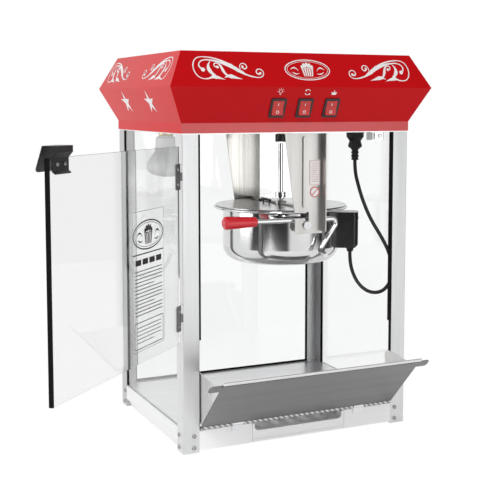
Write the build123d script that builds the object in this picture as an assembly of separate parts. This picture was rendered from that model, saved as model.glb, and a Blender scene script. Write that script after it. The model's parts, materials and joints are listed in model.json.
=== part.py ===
from build123d import *
from math import cos, degrees, hypot, pi, radians, sin, tan
import os

# Tabletop popcorn machine: a glazed cabinet under a flared sheet-metal canopy, with a
# tilting kettle inside.  Origin: centre of the underside.  -Y is the front, +Z is up, mm.

# ---- driving dimensions ----
CAB_W = 390.0            # outside faces of the corner posts, left to right
CAB_D = 300.0            # outside faces of the corner posts, front to back
CEILING_Z = 480.0        # underside of the ceiling plate, top of the posts
BAND_Z = 481.5           # lower edge of the canopy
BAND_H = 15.0            # upright band of the canopy
RIDGE_Z = 550.0          # widest line of the canopy
CANOPY_TOP = 602.0
CANOPY_OUT = 1.0         # band stands this far outside the posts
RIDGE_OUT = 27.0         # ridge overhang
SHEET = 1.5              # canopy sheet

POST_LEG = 26.0          # leg length of the L-section post
POST_T = 8.0             # leg thickness
RAIL_Z0 = 4.0
RAIL_Z1 = 37.0
FRONT_RAIL_Z1 = 33.5
FLOOR_Z = 37.0
GLASS_T = 4.0
GROOVE_T = 6.0
GROOVE_D = 6.0
FOOT_SCREW_Z = (7.5, 26.0)
FOOT_SCREW_IN = 17.5     # from the outer corner

KETTLE_X = 41.0          # kettle axis
PIVOT_X = 29.0           # trunnion axis, left of the kettle axis
PIVOT_Z = 332.0
POT_R = 98.0
RIM_R = 113.5
RIM_Z = 354.0
POT_Z0 = 262.0
PIN_R = 3.7
HANGER_Y = 117.0         # middle of the hanger plates, front and back
HANGER_T = 1.6

DOOR_AXIS_X = -198.5
DOOR_AXIS_Y = -153.5
DOOR_LEN = 347.5         # from the hinge axis to the free edge of the glass
DOOR_Z0 = 172.0
DOOR_Z1 = 463.0
DOOR_OPEN = 136.4        # degrees open in the rest pose
DOOR_HINGE_Z = (210.0, 419.0)
DOOR_HINGE_H = 38.0

CHUTE_AXIS_Y = -151.2
CHUTE_AXIS_Z = 37.5
CHUTE_OPEN = 44.0        # degrees open in the rest pose
CHUTE_LEN = 127.0        # from the hinge axis to the lip
CHUTE_HALF = 167.5
CHUTE_T = 1.2
BARREL_R = 3.0
CHUTE_PIN_R = 1.3

DRAWER_HALF = 81.0
DRAWER_Z0 = 6.0
DRAWER_Z1 = 32.5
DRAWER_BACK = 40.0

SIEVE_PITCH = 26.0
SIEVE_W = 8.0
SIEVE_Y = (-122.0, 8.0)

SWITCH_X = (-45.2, 0.3, 46.3)
SWITCH_UP = 24.9         # distance up the lower slope from the band
SWITCH_TILT = 7.0

LAMP = (-139.5, 60.0)
SOCKET = (147.3, -66.0)   # outlet for the kettle's plug

HW = CAB_W / 2
HD = CAB_D / 2


# ---- helpers ----
def block(x0, x1, y0, y1, z0, z1):
    """Rectangular block between two corners."""
    return Pos((x0 + x1) / 2, (y0 + y1) / 2, (z0 + z1) / 2) * Box(x1 - x0, y1 - y0, z1 - z0)


def bar(radius, start, end):
    """Round bar between two points."""
    run = Vector(*end) - Vector(*start)
    place = Plane(origin=start, z_dir=run).location
    return place * Cylinder(radius, run.length, align=(Align.CENTER, Align.CENTER, Align.MIN))


def tube_bar(outer, inner, start, end):
    """Round tube between two points."""
    return bar(outer, start, end) - bar(inner, start, end)


def prism_x(points, x0, x1):
    """Outline in Y and Z, drawn out from x0 to x1."""
    plane = Plane(origin=(x0, 0, 0), x_dir=(0, 1, 0), z_dir=(1, 0, 0))
    return extrude(plane * Polygon(*points, align=None), amount=x1 - x0, dir=(1, 0, 0))


def prism_y(points, y0, y1):
    """Outline in X and Z, drawn out from y0 to y1."""
    plane = Plane(origin=(0, y1, 0), x_dir=(1, 0, 0), z_dir=(0, -1, 0))
    return extrude(plane * Polygon(*points, align=None), amount=y1 - y0, dir=(0, -1, 0))


def prism_z(points, z0, z1):
    """Outline in X and Y, drawn out from z0 to z1."""
    return extrude(Pos(0, 0, z0) * Polygon(*points, align=None), amount=z1 - z0, dir=(0, 0, 1))


def turned(points, x=0.0, y=0.0):
    """Outline in radius and height, turned about an upright axis."""
    return Pos(x, y, 0) * revolve(Plane.XZ * Polygon(*points, align=None), axis=Axis.Z)


def folded(points, thick):
    """Outline of a folded sheet: a line and its parallel on the right, with mitred folds."""
    normals = []
    for (ax, ay), (bx, by) in zip(points, points[1:]):
        run = hypot(bx - ax, by - ay)
        normals.append(((by - ay) / run, (ax - bx) / run))
    other = []
    for i, (px, py) in enumerate(points):
        before = normals[max(i - 1, 0)]
        after = normals[min(i, len(normals) - 1)]
        mx = before[0] + after[0]
        my = before[1] + after[1]
        scale = 2 * thick / (mx * mx + my * my)
        other.append((px + mx * scale, py + my * scale))
    return list(points) + other[::-1]


def dome_screw(radius, at, direction, shank=4.0):
    """Pan-head screw: head on the surface at a point, cross recess, shank behind it."""
    place = Plane(origin=at, z_dir=direction).location
    head = Cylinder(radius, 1.8, align=(Align.CENTER, Align.CENTER, Align.MIN))
    head = fillet(head.edges().group_by(Axis.Z)[-1], 1.2)
    for turn in (0, 90):
        head = head - Pos(0, 0, 1.8) * Rot(0, 0, turn) * Box(radius * 1.2, 0.9, 1.2)
    stem = Pos(0, 0, -shank) * Cylinder(1.6, shank, align=(Align.CENTER, Align.CENTER, Align.MIN))
    return place * (head + stem)


def mirrored_x(shape):
    return mirror(shape, about=Plane.YZ)


def group(*shapes):
    """Several separate solids kept in one node."""
    solids = []
    for shape in shapes:
        solids.extend(shape.solids())
    return Compound(children=solids)


os.makedirs("parts", exist_ok=True)


def save(name, shape):
    export_step(shape, f"parts/{name}.step")


def single(shape):
    """The one solid of a finished piece."""
    solids = shape.solids()
    return solids[0] if len(solids) == 1 else Compound(children=solids)


# ---- cabinet frame ----
def corner_post(sx, sy):
    """L-section post on one corner, with a glazing groove in the end of each leg."""
    leg = POST_LEG
    outline = [(0, 0), (leg, 0), (leg, POST_T), (POST_T, POST_T), (POST_T, leg), (0, leg)]
    post = prism_z(outline, 0, CEILING_Z)
    mid = POST_T / 2
    post = post - block(leg - GROOVE_D, leg + 1, mid - GROOVE_T / 2, mid + GROOVE_T / 2, RAIL_Z1, CEILING_Z)
    post = post - block(mid - GROOVE_T / 2, mid + GROOVE_T / 2, leg - GROOVE_D, leg + 1, RAIL_Z1, CEILING_Z)
    edge = post.edges().filter_by(Axis.Z).sort_by(lambda e: e.center().X + e.center().Y)[0]
    post = fillet(edge, 1.5)
    for z in FOOT_SCREW_Z:
        post = post - bar(1.6, (FOOT_SCREW_IN, -1, z), (FOOT_SCREW_IN, 4, z))
        post = post - bar(1.6, (-1, FOOT_SCREW_IN, z), (4, FOOT_SCREW_IN, z))
    post = Pos(-HW, -HD, 0) * post
    if sx > 0:
        post = mirrored_x(post)
    if sy > 0:
        post = mirror(post, about=Plane.XZ)
    return post


def corner_seals(sx, sy):
    """Rubber strips in the two grooves of one post, proud of the leg ends."""
    mid = POST_T / 2
    half = GROOVE_T / 2
    strips = []
    for along_x in (True, False):
        glazed = not (along_x and sy < 0)
        proud = 2.0 if glazed else 0.8
        strip = block(POST_LEG - GROOVE_D, POST_LEG + proud, mid - half, mid + half, RAIL_Z1, CEILING_Z)
        if not glazed:
            strip = strip + block(POST_LEG, POST_LEG + 3.5, mid - half, mid + half, DOOR_Z0, CEILING_Z)
        if glazed:
            slot = block(POST_LEG - 4, POST_LEG + 3, mid - GLASS_T / 2, mid + GLASS_T / 2, 0, 500)
            strip = strip - slot
        strip = Pos(-HW, -HD, 0) * strip
        if not along_x:
            diagonal = Plane((0, 0, 0), z_dir=(1, -1, 0))
            strip = Pos(-HW, -HD, 0) * mirror(Pos(HW, HD, 0) * strip, about=diagonal)
        if sx > 0:
            strip = mirrored_x(strip)
        if sy > 0:
            strip = mirror(strip, about=Plane.XZ)
        strips.append(strip)
    return strips


def rear_foot_seal():
    """Rubber strip along the foot of the rear glass, inside."""
    x = HW - POST_LEG - 2.5
    y = HD - POST_T / 2 - GLASS_T / 2
    return block(-x, x, y - 1.2, y, RAIL_Z1, RAIL_Z1 + 3.5)


def side_rail():
    """Left base rail: glazing groove along the top, lower part set back."""
    y0 = -HD + POST_LEG
    mid = -HW + POST_T / 2
    rail = block(-HW, -HW + POST_T, y0, -y0, RAIL_Z0, RAIL_Z1)
    rail = rail - block(-HW, -HW + 4.5, y0, -y0, RAIL_Z0, 13.0)
    return rail - block(mid - GLASS_T / 2, mid + GLASS_T / 2, y0, -y0, RAIL_Z1 - 5, RAIL_Z1)


def rear_rail():
    x0 = -HW + POST_LEG
    mid = HD - POST_T / 2
    rail = block(x0, -x0, HD - POST_T, HD, RAIL_Z0, RAIL_Z1)
    rail = rail - block(x0, -x0, HD - 4.5, HD, RAIL_Z0, 13.0)
    return rail - block(x0, -x0, mid - GLASS_T / 2, mid + GLASS_T / 2, RAIL_Z1 - 5, RAIL_Z1)


def front_rail():
    """Front rail with the crumb drawer's window, open at the top."""
    x0 = -HW + POST_LEG
    rail = block(x0, -x0, -HD, -HD + POST_T, 3.0, FRONT_RAIL_Z1)
    window = block(-DRAWER_HALF - 0.6, DRAWER_HALF + 0.6, -HD - 1, -HD + POST_T + 1, DRAWER_Z0 - 0.6,
                   FRONT_RAIL_Z1 + 1)
    return rail - window


def bottom_plate():
    x = HW - POST_T
    y = HD - POST_T
    return block(-x, x, -y, y, 0, 3.0)


def floor_pan():
    """Popping floor, slotted above the drawer so that unpopped kernels drop through."""
    x = HW - POST_T
    y = HD - POST_T
    pan = block(-x, x, -y, y, FLOOR_Z - 1.5, FLOOR_Z)
    pan = pan + block(-HW + POST_LEG + 1, HW - POST_LEG - 1, -y, -y + 1.5, FRONT_RAIL_Z1, FLOOR_Z)
    slots = []
    for i in range(-2, 3):
        slot = block(SIEVE_PITCH * i - SIEVE_W / 2, SIEVE_PITCH * i + SIEVE_W / 2, *SIEVE_Y, 30, 40)
        slots.append(fillet(slot.edges().filter_by(Axis.Z), SIEVE_W / 2 - 0.01))
    return pan - slots


def glass_side():
    mid = -HW + POST_T / 2
    y = HD - POST_LEG + 4
    return block(mid - GLASS_T / 2, mid + GLASS_T / 2, -y, y, RAIL_Z1 - 5, CEILING_Z) - [
        block(mid - 5, mid + 5, s * y - 4.01, s * y + 4.01, 0, RAIL_Z1) for s in (-1, 1)]


def glass_rear():
    mid = HD - POST_T / 2
    x = HW - POST_LEG + 4
    return block(-x, x, mid - GLASS_T / 2, mid + GLASS_T / 2, RAIL_Z1 - 5, CEILING_Z) - [
        block(s * x - 4.01, s * x + 4.01, mid - 5, mid + 5, 0, RAIL_Z1) for s in (-1, 1)]


save("front_posts", group(corner_post(-1, -1), corner_post(1, -1)))
save("rear_posts", group(corner_post(-1, 1), corner_post(1, 1)))
save("glazing_seals", group(*[s for sx in (-1, 1) for sy in (-1, 1) for s in corner_seals(sx, sy)],
                            rear_foot_seal()))
save("side_rails", group(side_rail(), mirrored_x(side_rail())))
save("rear_rail", single(rear_rail()))
save("front_rail", single(front_rail()))
save("bottom_plate", single(bottom_plate()))
save("floor_pan", single(floor_pan()))
save("side_glass", group(glass_side(), mirrored_x(glass_side())))
save("rear_glass", single(glass_rear()))


# ---- canopy ----
def canopy_panel(across, along, cuts=()):
    """Folded panel facing -Y, mitred at both ends; across and along are half sizes."""
    edge = across + CANOPY_OUT
    ridge = across + RIDGE_OUT
    line = [(-edge, BAND_Z), (-edge, BAND_Z + BAND_H), (-ridge, RIDGE_Z), (-edge, CANOPY_TOP),
            (-edge + 15, CANOPY_TOP)]
    panel = prism_x(folded(line, SHEET), -along - 60, along + 60)
    reach = 60
    wedge = [(-along - reach, -across - reach), (along + reach, -across - reach),
             (along - reach, -across + reach), (-along + reach, -across + reach)]
    panel = panel & prism_z(wedge, BAND_Z - 1, CANOPY_TOP + 1)
    for cut in cuts:
        panel = panel - cut
    return single(panel)


SLOPE_DY = -(RIDGE_OUT - CANOPY_OUT)
SLOPE_DZ = RIDGE_Z - BAND_Z - BAND_H
SLOPE_LEN = hypot(SLOPE_DY, SLOPE_DZ)
SLOPE_UP = (0.0, SLOPE_DY / SLOPE_LEN, SLOPE_DZ / SLOPE_LEN)
SLOPE_OUT = (0.0, -SLOPE_DZ / SLOPE_LEN, SLOPE_DY / SLOPE_LEN)


def slope_place(x, up, turn=0.0):
    """Frame on the lower front slope: X right, Y up the slope, Z outwards."""
    y = -HD - CANOPY_OUT + SLOPE_UP[1] * up
    z = BAND_Z + BAND_H + SLOPE_UP[2] * up
    return Rot(0, 0, turn) * Plane(origin=(x, y, z), x_dir=(1, 0, 0), z_dir=SLOPE_OUT).location


switch_cuts = [slope_place(x, SWITCH_UP) * Box(22.4, 28.4, 12) for x in SWITCH_X]
inlet_cut = slope_place(-110, SWITCH_UP, 180) * Box(28.4, 22.4, 12)
save("canopy_front", canopy_panel(HD, HW, switch_cuts))
save("canopy_rear", single(Rot(0, 0, 180) * canopy_panel(HD, HW) - inlet_cut))
save("canopy_left", single(Rot(0, 0, -90) * canopy_panel(HW, HD)))
save("canopy_right", single(Rot(0, 0, 90) * canopy_panel(HW, HD)))
save("canopy_cover", block(-HW + 6, HW - 6, -HD + 6, HD - 6, CANOPY_TOP - 2 * SHEET, CANOPY_TOP - SHEET))


def ceiling_plate():
    """Folded tray on top of the posts; the canopy band screws to its upstand."""
    x = HW + CANOPY_OUT - SHEET
    y = HD + CANOPY_OUT - SHEET
    tray = block(-x, x, -y, y, CEILING_Z, CEILING_Z + 13)
    tray = tray - block(-x + 1.2, x - 1.2, -y + 1.2, y - 1.2, CEILING_Z + 1.5, CEILING_Z + 20)
    holes = [bar(13, (KETTLE_X, 0, 470), (KETTLE_X, 0, 490)), bar(17, LAMP + (470,), LAMP + (490,)),
             bar(18, SOCKET + (470,), SOCKET + (490,))]
    return tray - holes


save("ceiling_plate", single(ceiling_plate()))


# ---- gear motor and drive ----
def gear_motor():
    """Right-angle gearbox on the ceiling plate and a round motor lying along X."""
    top = CEILING_Z + 1.5
    box = block(KETTLE_X - 32, KETTLE_X + 32, -28, 28, top, top + 40)
    box = box - bar(8.2, (KETTLE_X, 0, top - 1), (KETTLE_X, 0, top + 20))
    box = fillet(box.edges().filter_by(Axis.Z), 4)
    can = bar(26, (KETTLE_X - 32, 0, top + 28), (KETTLE_X - 112, 0, top + 28))
    return group(box, can)


save("gear_motor", gear_motor())
save("terminal_block", group(*[block(-60 + 14 * i, -48 + 14 * i, 95, 115, CEILING_Z + 1.5, CEILING_Z + 18)
                               for i in range(5)]))

DOG_Z0 = 461.0
DOG_Z1 = 474.0
SLOT_ROOF = 471.2
TONGUE_TOP = 469.3
TONGUE_FOOT = 459.0


def drive_dog():
    """Black dog on the output shaft, slotted right across to take the stirrer's tongue."""
    dog = bar(9, (KETTLE_X, 0, DOG_Z0), (KETTLE_X, 0, DOG_Z1))
    dog = dog - block(KETTLE_X - 12, KETTLE_X + 12, -1.9, 1.9, DOG_Z0 - 1, SLOT_ROOF)
    return dog - bar(3.0, (KETTLE_X, 0, 472.2), (KETTLE_X, 0, 476))


def drive_shaft():
    shaft = bar(6, (KETTLE_X, 0, DOG_Z1), (KETTLE_X, 0, CEILING_Z + 20))
    return shaft + bar(3.0, (KETTLE_X, 0, 472.2), (KETTLE_X, 0, DOG_Z1 + 1))


save("drive_dog", single(drive_dog()))
save("drive_shaft", single(drive_shaft()))


# ---- lamp ----
def lamp_bulb():
    """Frosted reflector bulb, hanging cap up."""
    with BuildPart() as bulb:
        with BuildSketch(Plane.XZ):
            with BuildLine():
                Polyline((0, 472), (12, 472), (17, 468), (17.5, 460))
                Spline((17.5, 460), (21, 447), (31.5, 430), (34.0, 420), tangents=[(0, -1), (0, -1)])
                Spline((34.0, 420), (25, 408), (0, 403.5), tangents=[(0, -1), (-1, 0)])
                Line((0, 403.5), (0, 472))
            make_face()
        revolve(axis=Axis.Z)
    return Pos(*LAMP, 0) * bulb.part


def lamp_holder():
    """Holder above the ceiling and the brass screw shell that the bulb's cap enters."""
    body = turned([(0, 480), (15, 480), (15, 481.5), (20, 481.5), (20, 505), (0, 505)], *LAMP)
    shell = turned([(0, 472), (11, 472), (13, 474), (13, 480), (0, 480)], *LAMP)
    return group(body, shell)


save("lamp_bulb", single(lamp_bulb()))
save("lamp_holder", lamp_holder())


# ---- kettle hangers ----
def hanger():
    """Front hanger: tapered plate with a flange, a stiffening rib and a hooked slot for the pin."""
    left_top = -10.0
    right = 57.0
    face = -HANGER_Y - HANGER_T / 2
    back = -HANGER_Y + HANGER_T / 2
    lobe = 8.5
    foot_z = 318.5
    outline = [(left_top, CEILING_Z), (lobe, 346), (lobe, foot_z + 4.5), (lobe + 4, foot_z),
               (right, foot_z), (right, CEILING_Z)]
    plate = prism_y(outline, face, back)
    slot = prism_y([(-10, 343.5), (PIVOT_X - 4, 343.5), (PIVOT_X - 4, PIVOT_Z), (PIVOT_X + 4, PIVOT_Z),
                    (PIVOT_X + 4, 353.5), (-10, 353.5)], face - 1, back + 1)
    slot = slot + bar(4.0, (PIVOT_X, face - 1, PIVOT_Z), (PIVOT_X, back + 1, PIVOT_Z))
    plate = plate - slot
    flange = block(right - HANGER_T, right, face - 14, face, 322, CEILING_Z)
    foot = block(left_top + 3, right, face - 14, face, CEILING_Z - HANGER_T, CEILING_Z)
    rib = block(21.5, 29.0, face - 2.5, face, 360, CEILING_Z - 6)
    rib = fillet(rib.edges().filter_by(Axis.Y), 3.6)
    return single(plate + flange + foot + rib)


save("hanger_front", hanger())
save("hanger_rear", single(mirror(hanger(), about=Plane.XZ)))


# ---- kettle ----
def around_kettle(points):
    return turned(points, KETTLE_X, 0)


JACKET_TOP = 348.0


def kettle_jacket():
    """Spun outer shell with a generous bottom radius."""
    big = 26.0
    with BuildPart() as shell:
        with BuildSketch(Plane.XZ):
            with BuildLine():
                Polyline((0, POT_Z0), (POT_R - big, POT_Z0))
                RadiusArc((POT_R - big, POT_Z0), (POT_R, POT_Z0 + big), -big)
                Polyline((POT_R, POT_Z0 + big), (POT_R, JACKET_TOP), (POT_R - 1.2, JACKET_TOP),
                         (POT_R - 1.2, POT_Z0 + big))
                RadiusArc((POT_R - 1.2, POT_Z0 + big), (POT_R - big, POT_Z0 + 1.2), big - 1.2)
                Polyline((POT_R - big, POT_Z0 + 1.2), (0, POT_Z0 + 1.2), (0, POT_Z0))
            make_face()
        revolve(axis=Axis.Z)
    return Pos(KETTLE_X, 0, 0) * shell.part


PAN_R = 94.5
PAN_T = 1.3
FLARE_R = 10.0           # bell-mouth radius of the rim
FLARE_Z = RIM_Z - FLARE_R


def kettle_pan():
    """Inner pan with the stirrer's bearing boss."""
    pan = folded([(0, 285), (PAN_R - 4.5, 285), (PAN_R, 291), (PAN_R, FLARE_Z)], PAN_T)
    pan = around_kettle(pan)
    boss = tube_bar(9, 4.3, (KETTLE_X, 0, 275), (KETTLE_X, 0, 285))
    return pan - bar(4.3, (KETTLE_X, 0, 270), (KETTLE_X, 0, 300)) + boss


def kettle_rim():
    """Bell-mouthed rim welded to the top of the pan, with a rolled edge."""
    bead = 1.8
    edge = RIM_R - bead
    flat = PAN_R + FLARE_R
    under = RIM_Z - PAN_T
    with BuildPart() as rim:
        with BuildSketch(Plane.XZ):
            with BuildLine():
                RadiusArc((PAN_R, FLARE_Z), (flat, RIM_Z), FLARE_R)
                Polyline((flat, RIM_Z), (edge, RIM_Z), (edge, under), (flat, under))
                RadiusArc((flat, under), (PAN_R + PAN_T, FLARE_Z), PAN_T - FLARE_R)
                Line((PAN_R + PAN_T, FLARE_Z), (PAN_R, FLARE_Z))
            make_face()
        revolve(axis=Axis.Z)
    return Pos(KETTLE_X, 0, 0) * (rim.part + Pos(0, 0, RIM_Z - bead) * Torus(edge, bead))


def heating_element():
    """Ring element clamped under the pan, with its lead running out to the terminal box."""
    ring = around_kettle([(45, 276), (80, 276), (80, 283), (45, 283)])
    return ring


def kettle_crossbar():
    """Bar across the rim that carries the lids and guides the stirrer shaft."""
    reach = 112.0
    cross = block(KETTLE_X - 5, KETTLE_X + 5, -reach, reach, RIM_Z, RIM_Z + 5)
    boss = bar(10, (KETTLE_X, 0, RIM_Z - 8), (KETTLE_X, 0, RIM_Z + 7))
    cross = cross + boss
    for side in (-1, 1):
        for place in (-1, 1):
            y = place * 78
            lug_x = KETTLE_X + side * 5
            lug = block(lug_x - 1.5, lug_x + 1.5, y - 4, y + 4, RIM_Z, RIM_Z + 5)
            knuckle = bar(2.6, (KETTLE_X + side * 8.2, y - 4, RIM_Z + 3.2),
                          (KETTLE_X + side * 8.2, y + 4, RIM_Z + 3.2))
            cross = cross + lug + knuckle
            pin = bar(1.2, (KETTLE_X + side * 8.2, y - 12, RIM_Z + 3.2),
                      (KETTLE_X + side * 8.2, y + 12, RIM_Z + 3.2))
            cross = cross + pin
    return single(cross - bar(4.3, (KETTLE_X, 0, 300), (KETTLE_X, 0, 400)))


def lid_half():
    """Left half-moon lid with two hinge curls, notched round the shaft boss."""
    z0 = RIM_Z + 0.6
    plate = bar(RIM_R - 3, (KETTLE_X, 0, z0), (KETTLE_X, 0, z0 + 1.2))
    plate = plate & block(KETTLE_X - 130, KETTLE_X - 9.5, -130, 130, 300, 400)
    plate = plate - bar(14, (KETTLE_X, 0, 300), (KETTLE_X, 0, 400))
    axis_x = KETTLE_X - 8.2
    axis_z = RIM_Z + 3.2
    plate = plate - [block(axis_x - 3.6, KETTLE_X, s * 78 - 12.6, s * 78 + 12.6, 300, 400) for s in (-1, 1)]
    for y in (-78, 78):
        for s in (-1, 1):
            near, far = sorted((y + s * 4.4, y + s * 11.6))
            curl = tube_bar(2.6, 1.25, (axis_x, near, axis_z), (axis_x, far, axis_z))
            ear = block(axis_x - 5.5, axis_x - 1.6, near, far, z0, z0 + 1.4)
            plate = plate + curl + ear
    return single(plate)


def lid_lift():
    """Low heat-proof bar on two short posts that lifts the left lid."""
    foot = RIM_Z + 1.8
    lift = bar(1.8, (28, 12, foot + 5.5), (28, 45, foot + 5.5))
    posts = [bar(1.1, (28, y, foot), (28, y, foot + 5)) for y in (17, 40)]
    return lift + posts


def trunnion_pins():
    """Stub pins welded to the jacket, with round heads outside the hangers."""
    pins = []
    for side in (-1, 1):
        root = 96.0
        pin = bar(PIN_R, (PIVOT_X, side * root, PIVOT_Z), (PIVOT_X, side * 121.5, PIVOT_Z))
        pin = pin + bar(6.5, (PIVOT_X, side * 118.4, PIVOT_Z), (PIVOT_X, side * 121.5, PIVOT_Z))
        pin = pin + bar(7.0, (PIVOT_X, side * root, PIVOT_Z), (PIVOT_X, side * 103, PIVOT_Z))
        body = bar(POT_R, (KETTLE_X, 0, 300), (KETTLE_X, 0, 352))
        pins.append(pin - body)
    return group(*pins)


ROD_Y = -108.0
ROD_R = 3.8
ROD_LEFT = (-92.0, ROD_Y, 341.0)
ROD_RIGHT = (94.0, ROD_Y, 339.5)


def handle_rod():
    """Chromed rod: grip end left, run along the front of the pot, bent down and out at the right."""
    route = [ROD_LEFT, ROD_RIGHT, (57, ROD_Y, 289), (60, ROD_Y - 18, 283)]
    path = FilletPolyline(*route, radius=7)
    return sweep(Plane(origin=path @ 0, z_dir=path % 0) * Circle(ROD_R), path=path)


def rod_lugs():
    """Weld-on lugs between the jacket and the rod."""
    body = bar(POT_R, (KETTLE_X, 0, 262), (KETTLE_X, 0, 352))
    lugs = []
    for x in (-12, 74):
        z = 341 - (x + 92) * 1.5 / 186
        lug = block(x - 5, x + 5, ROD_Y - 0.2, -60, z - 4, z + 4) - body
        lugs.append(lug - bar(ROD_R, ROD_LEFT, ROD_RIGHT))
    return lugs


def handle_grip():
    """Red tapered grip on the rod."""
    grip = Plane(origin=(-111, ROD_Y, 341.2), z_dir=(1, 0, -0.0084)).location * revolve(
        Plane.XZ * Polygon((0, 0), (6.5, 0), (10, 2.5), (10.5, 6), (9.2, 30), (7.8, 54), (6.5, 56), (0, 56),
                           align=None), axis=Axis.Z)
    return grip - bar(ROD_R, ROD_LEFT, ROD_RIGHT)


BOX_AZ = radians(-30)


def box_frame():
    """Frame of the terminal box: X outwards from the kettle axis."""
    return Pos(KETTLE_X, 0, 0) * Rot(0, 0, degrees(BOX_AZ))


GLAND = (KETTLE_X + 118 * cos(BOX_AZ), 118 * sin(BOX_AZ))
BOX_Z0 = 284.0


def terminal_box():
    """Black terminal box on the jacket, tucked under the rim, with rounded outer corners."""
    shell = block(90, 131.5, -19, 19, BOX_Z0, FLARE_Z)
    shell = fillet(shell.edges().filter_by(Axis.Z).group_by(Axis.X)[-1], 9)
    shell = shell - prism_y([(125, BOX_Z0 - 1), (140, BOX_Z0 - 1), (140, BOX_Z0 + 14)], -25, 25)
    hollow = [(104, BOX_Z0 + 4), (120, BOX_Z0 + 4), (126, BOX_Z0 + 12), (126, 341), (104, 341)]
    cavity = prism_y(hollow, -15, 15)
    lid = block(104, 132.2, -19.6, 19.6, 333, 335)
    lid = fillet(lid.edges().filter_by(Axis.Z).group_by(Axis.X)[-1], 9.3)
    screws = [dome_screw(3.0, (112, -19, z), (0, -1, 0), 3) for z in (296, 326)]
    return single(box_frame() * (shell - bar(POT_R, (0, 0, 200), (0, 0, 400)) + lid - cavity + screws))


def cord_gland():
    """Rubber gland under the terminal box."""
    return turned([(0, BOX_Z0 - 8), (5, BOX_Z0 - 8), (7, BOX_Z0), (0, BOX_Z0)], *GLAND)


save("kettle_jacket", single(kettle_jacket()))
save("kettle_pot", group(kettle_pan(), kettle_rim()))
save("heating_element", single(heating_element()))
save("kettle_crossbar", kettle_crossbar())
save("trunnion_pins", trunnion_pins())
save("handle_rod", group(handle_rod(), *rod_lugs()))
save("handle_grip", single(handle_grip()))
save("terminal_box", terminal_box())
save("cord_gland", single(cord_gland()))
save("lid_left", lid_half())
save("lid_lift", single(lid_lift()))
save("lid_right", single(Pos(2 * KETTLE_X, 0, 0) * mirrored_x(lid_half())))


# ---- stirrer ----
def stirrer_shaft():
    """Long shaft down to the coupling, with a flat tongue on top that drops out of the dog."""
    shaft = bar(4, (KETTLE_X, 0, 376), (KETTLE_X, 0, TONGUE_FOOT))
    return shaft + block(KETTLE_X - 4, KETTLE_X + 4, -1.5, 1.5, TONGUE_FOOT - 1, TONGUE_TOP)


def shaft_coupling():
    """Coupling sleeve with a set screw that joins the long shaft to the stirrer."""
    sleeve = bar(9.0, (KETTLE_X, 0, 367), (KETTLE_X, 0, 376))
    collar = bar(6.0, (KETTLE_X, 0, 364), (KETTLE_X, 0, 367.5))
    screw = dome_screw(2.6, (KETTLE_X, -8.6, 371.5), (0, -1, 0), 2.6)
    return sleeve + collar + screw - bar(3.2, (KETTLE_X, 0, 362), (KETTLE_X, 0, 372))


def stirrer():
    """Spindle through the crossbar with two cranked blades close to the pan."""
    spindle = bar(4.2, (KETTLE_X, 0, 277), (KETTLE_X, 0, 364))
    spindle = spindle + bar(3.2, (KETTLE_X, 0, 362), (KETTLE_X, 0, 372))
    hub = bar(9, (KETTLE_X, 0, 288), (KETTLE_X, 0, 302))
    blades = []
    for turn in (0, 180):
        blade = prism_x([(-2, 288), (3, 288), (7, 294), (2, 296)], 6, 84)
        blades.append(Pos(KETTLE_X, 0, 0) * Rot(0, 0, 35 + turn) * blade)
    return spindle + hub + blades


save("stirrer_shaft", single(stirrer_shaft()))
save("shaft_coupling", single(shaft_coupling()))
save("stirrer", single(stirrer()))


# ---- kettle outlet, plug and cord ----
def kettle_socket():
    """Outlet let into the ceiling."""
    face = turned([(0, 477), (16, 477), (20, 480), (0, 480)], *SOCKET)
    body = turned([(0, 480), (17, 480), (17, 498), (0, 498)], *SOCKET)
    return face + body


def kettle_plug():
    """Round plug with a waist and a ribbed strain relief."""
    profile = [(0, 477), (14.5, 477), (14.5, 470), (9.5, 463), (11.5, 456), (11.5, 453), (7, 450)]
    for i in range(3):
        z = 450 - 6 * i
        profile += [(6.6, z - 1.5), (5.2, z - 2), (5.2, z - 4), (6.3, z - 4.5), (6.3, z - 6)]
    profile += [(5.0, 431), (0, 431)]
    return turned(profile, *SOCKET)


CORD_R = 3.0
BULGE = (0.42, -0.907)


def cord_route():
    """Slack loop from the gland up to the plug: (sideways, height) points in one upright plane."""
    loop = [(0, BOX_Z0 - 8), (0, 259), (6.5, 238), (20, 219.5), (41.5, 209.5), (65, 213.5), (81.5, 231),
            (84.5, 255), (79, 281), (63, 306), (42, 332.5), (26, 362), (15, 391)]
    route = [(GLAND[0] + BULGE[0] * s, GLAND[1] + BULGE[1] * s, z) for s, z in loop]
    return route + [SOCKET + (413.5,), SOCKET + (431,)]


def kettle_cord():
    route = [Vector(*p) for p in cord_route()]
    radii = []
    for before, here, after in zip(route, route[1:], route[2:]):
        a = here - before
        b = after - here
        turn = radians(a.get_angle(b))
        radii.append(0.45 * min(a.length, b.length) / tan(turn / 2))
    print("cord radii", [round(r, 1) for r in radii])
    path = FilletPolyline(*route, radius=radii)
    section = Plane(origin=path @ 0, z_dir=path % 0) * Circle(CORD_R)
    cord = sweep(section, path=path)
    print("cord volume", round(cord.volume), "section x length", round(pi * CORD_R ** 2 * path.length))
    return cord


save("kettle_socket", single(kettle_socket()))
save("kettle_plug", single(kettle_plug()))
save("kettle_cord", single(kettle_cord()))


# ---- door ----
def door_open(shape):
    """Swing a piece built with the door closed to the rest pose."""
    axis = Axis((DOOR_AXIS_X, DOOR_AXIS_Y, 0), (0, 0, 1))
    return shape.rotate(axis, -DOOR_OPEN)


def door_block(a0, a1, n0, n1, z0, z1):
    """Block in door measures: a along the glass from the axis, n outwards from its inner face."""
    return block(DOOR_AXIS_X + a0, DOOR_AXIS_X + a1, DOOR_AXIS_Y - n1, DOOR_AXIS_Y - n0, z0, z1)


HANDLE_A = (306.0, 340.0)


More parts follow.
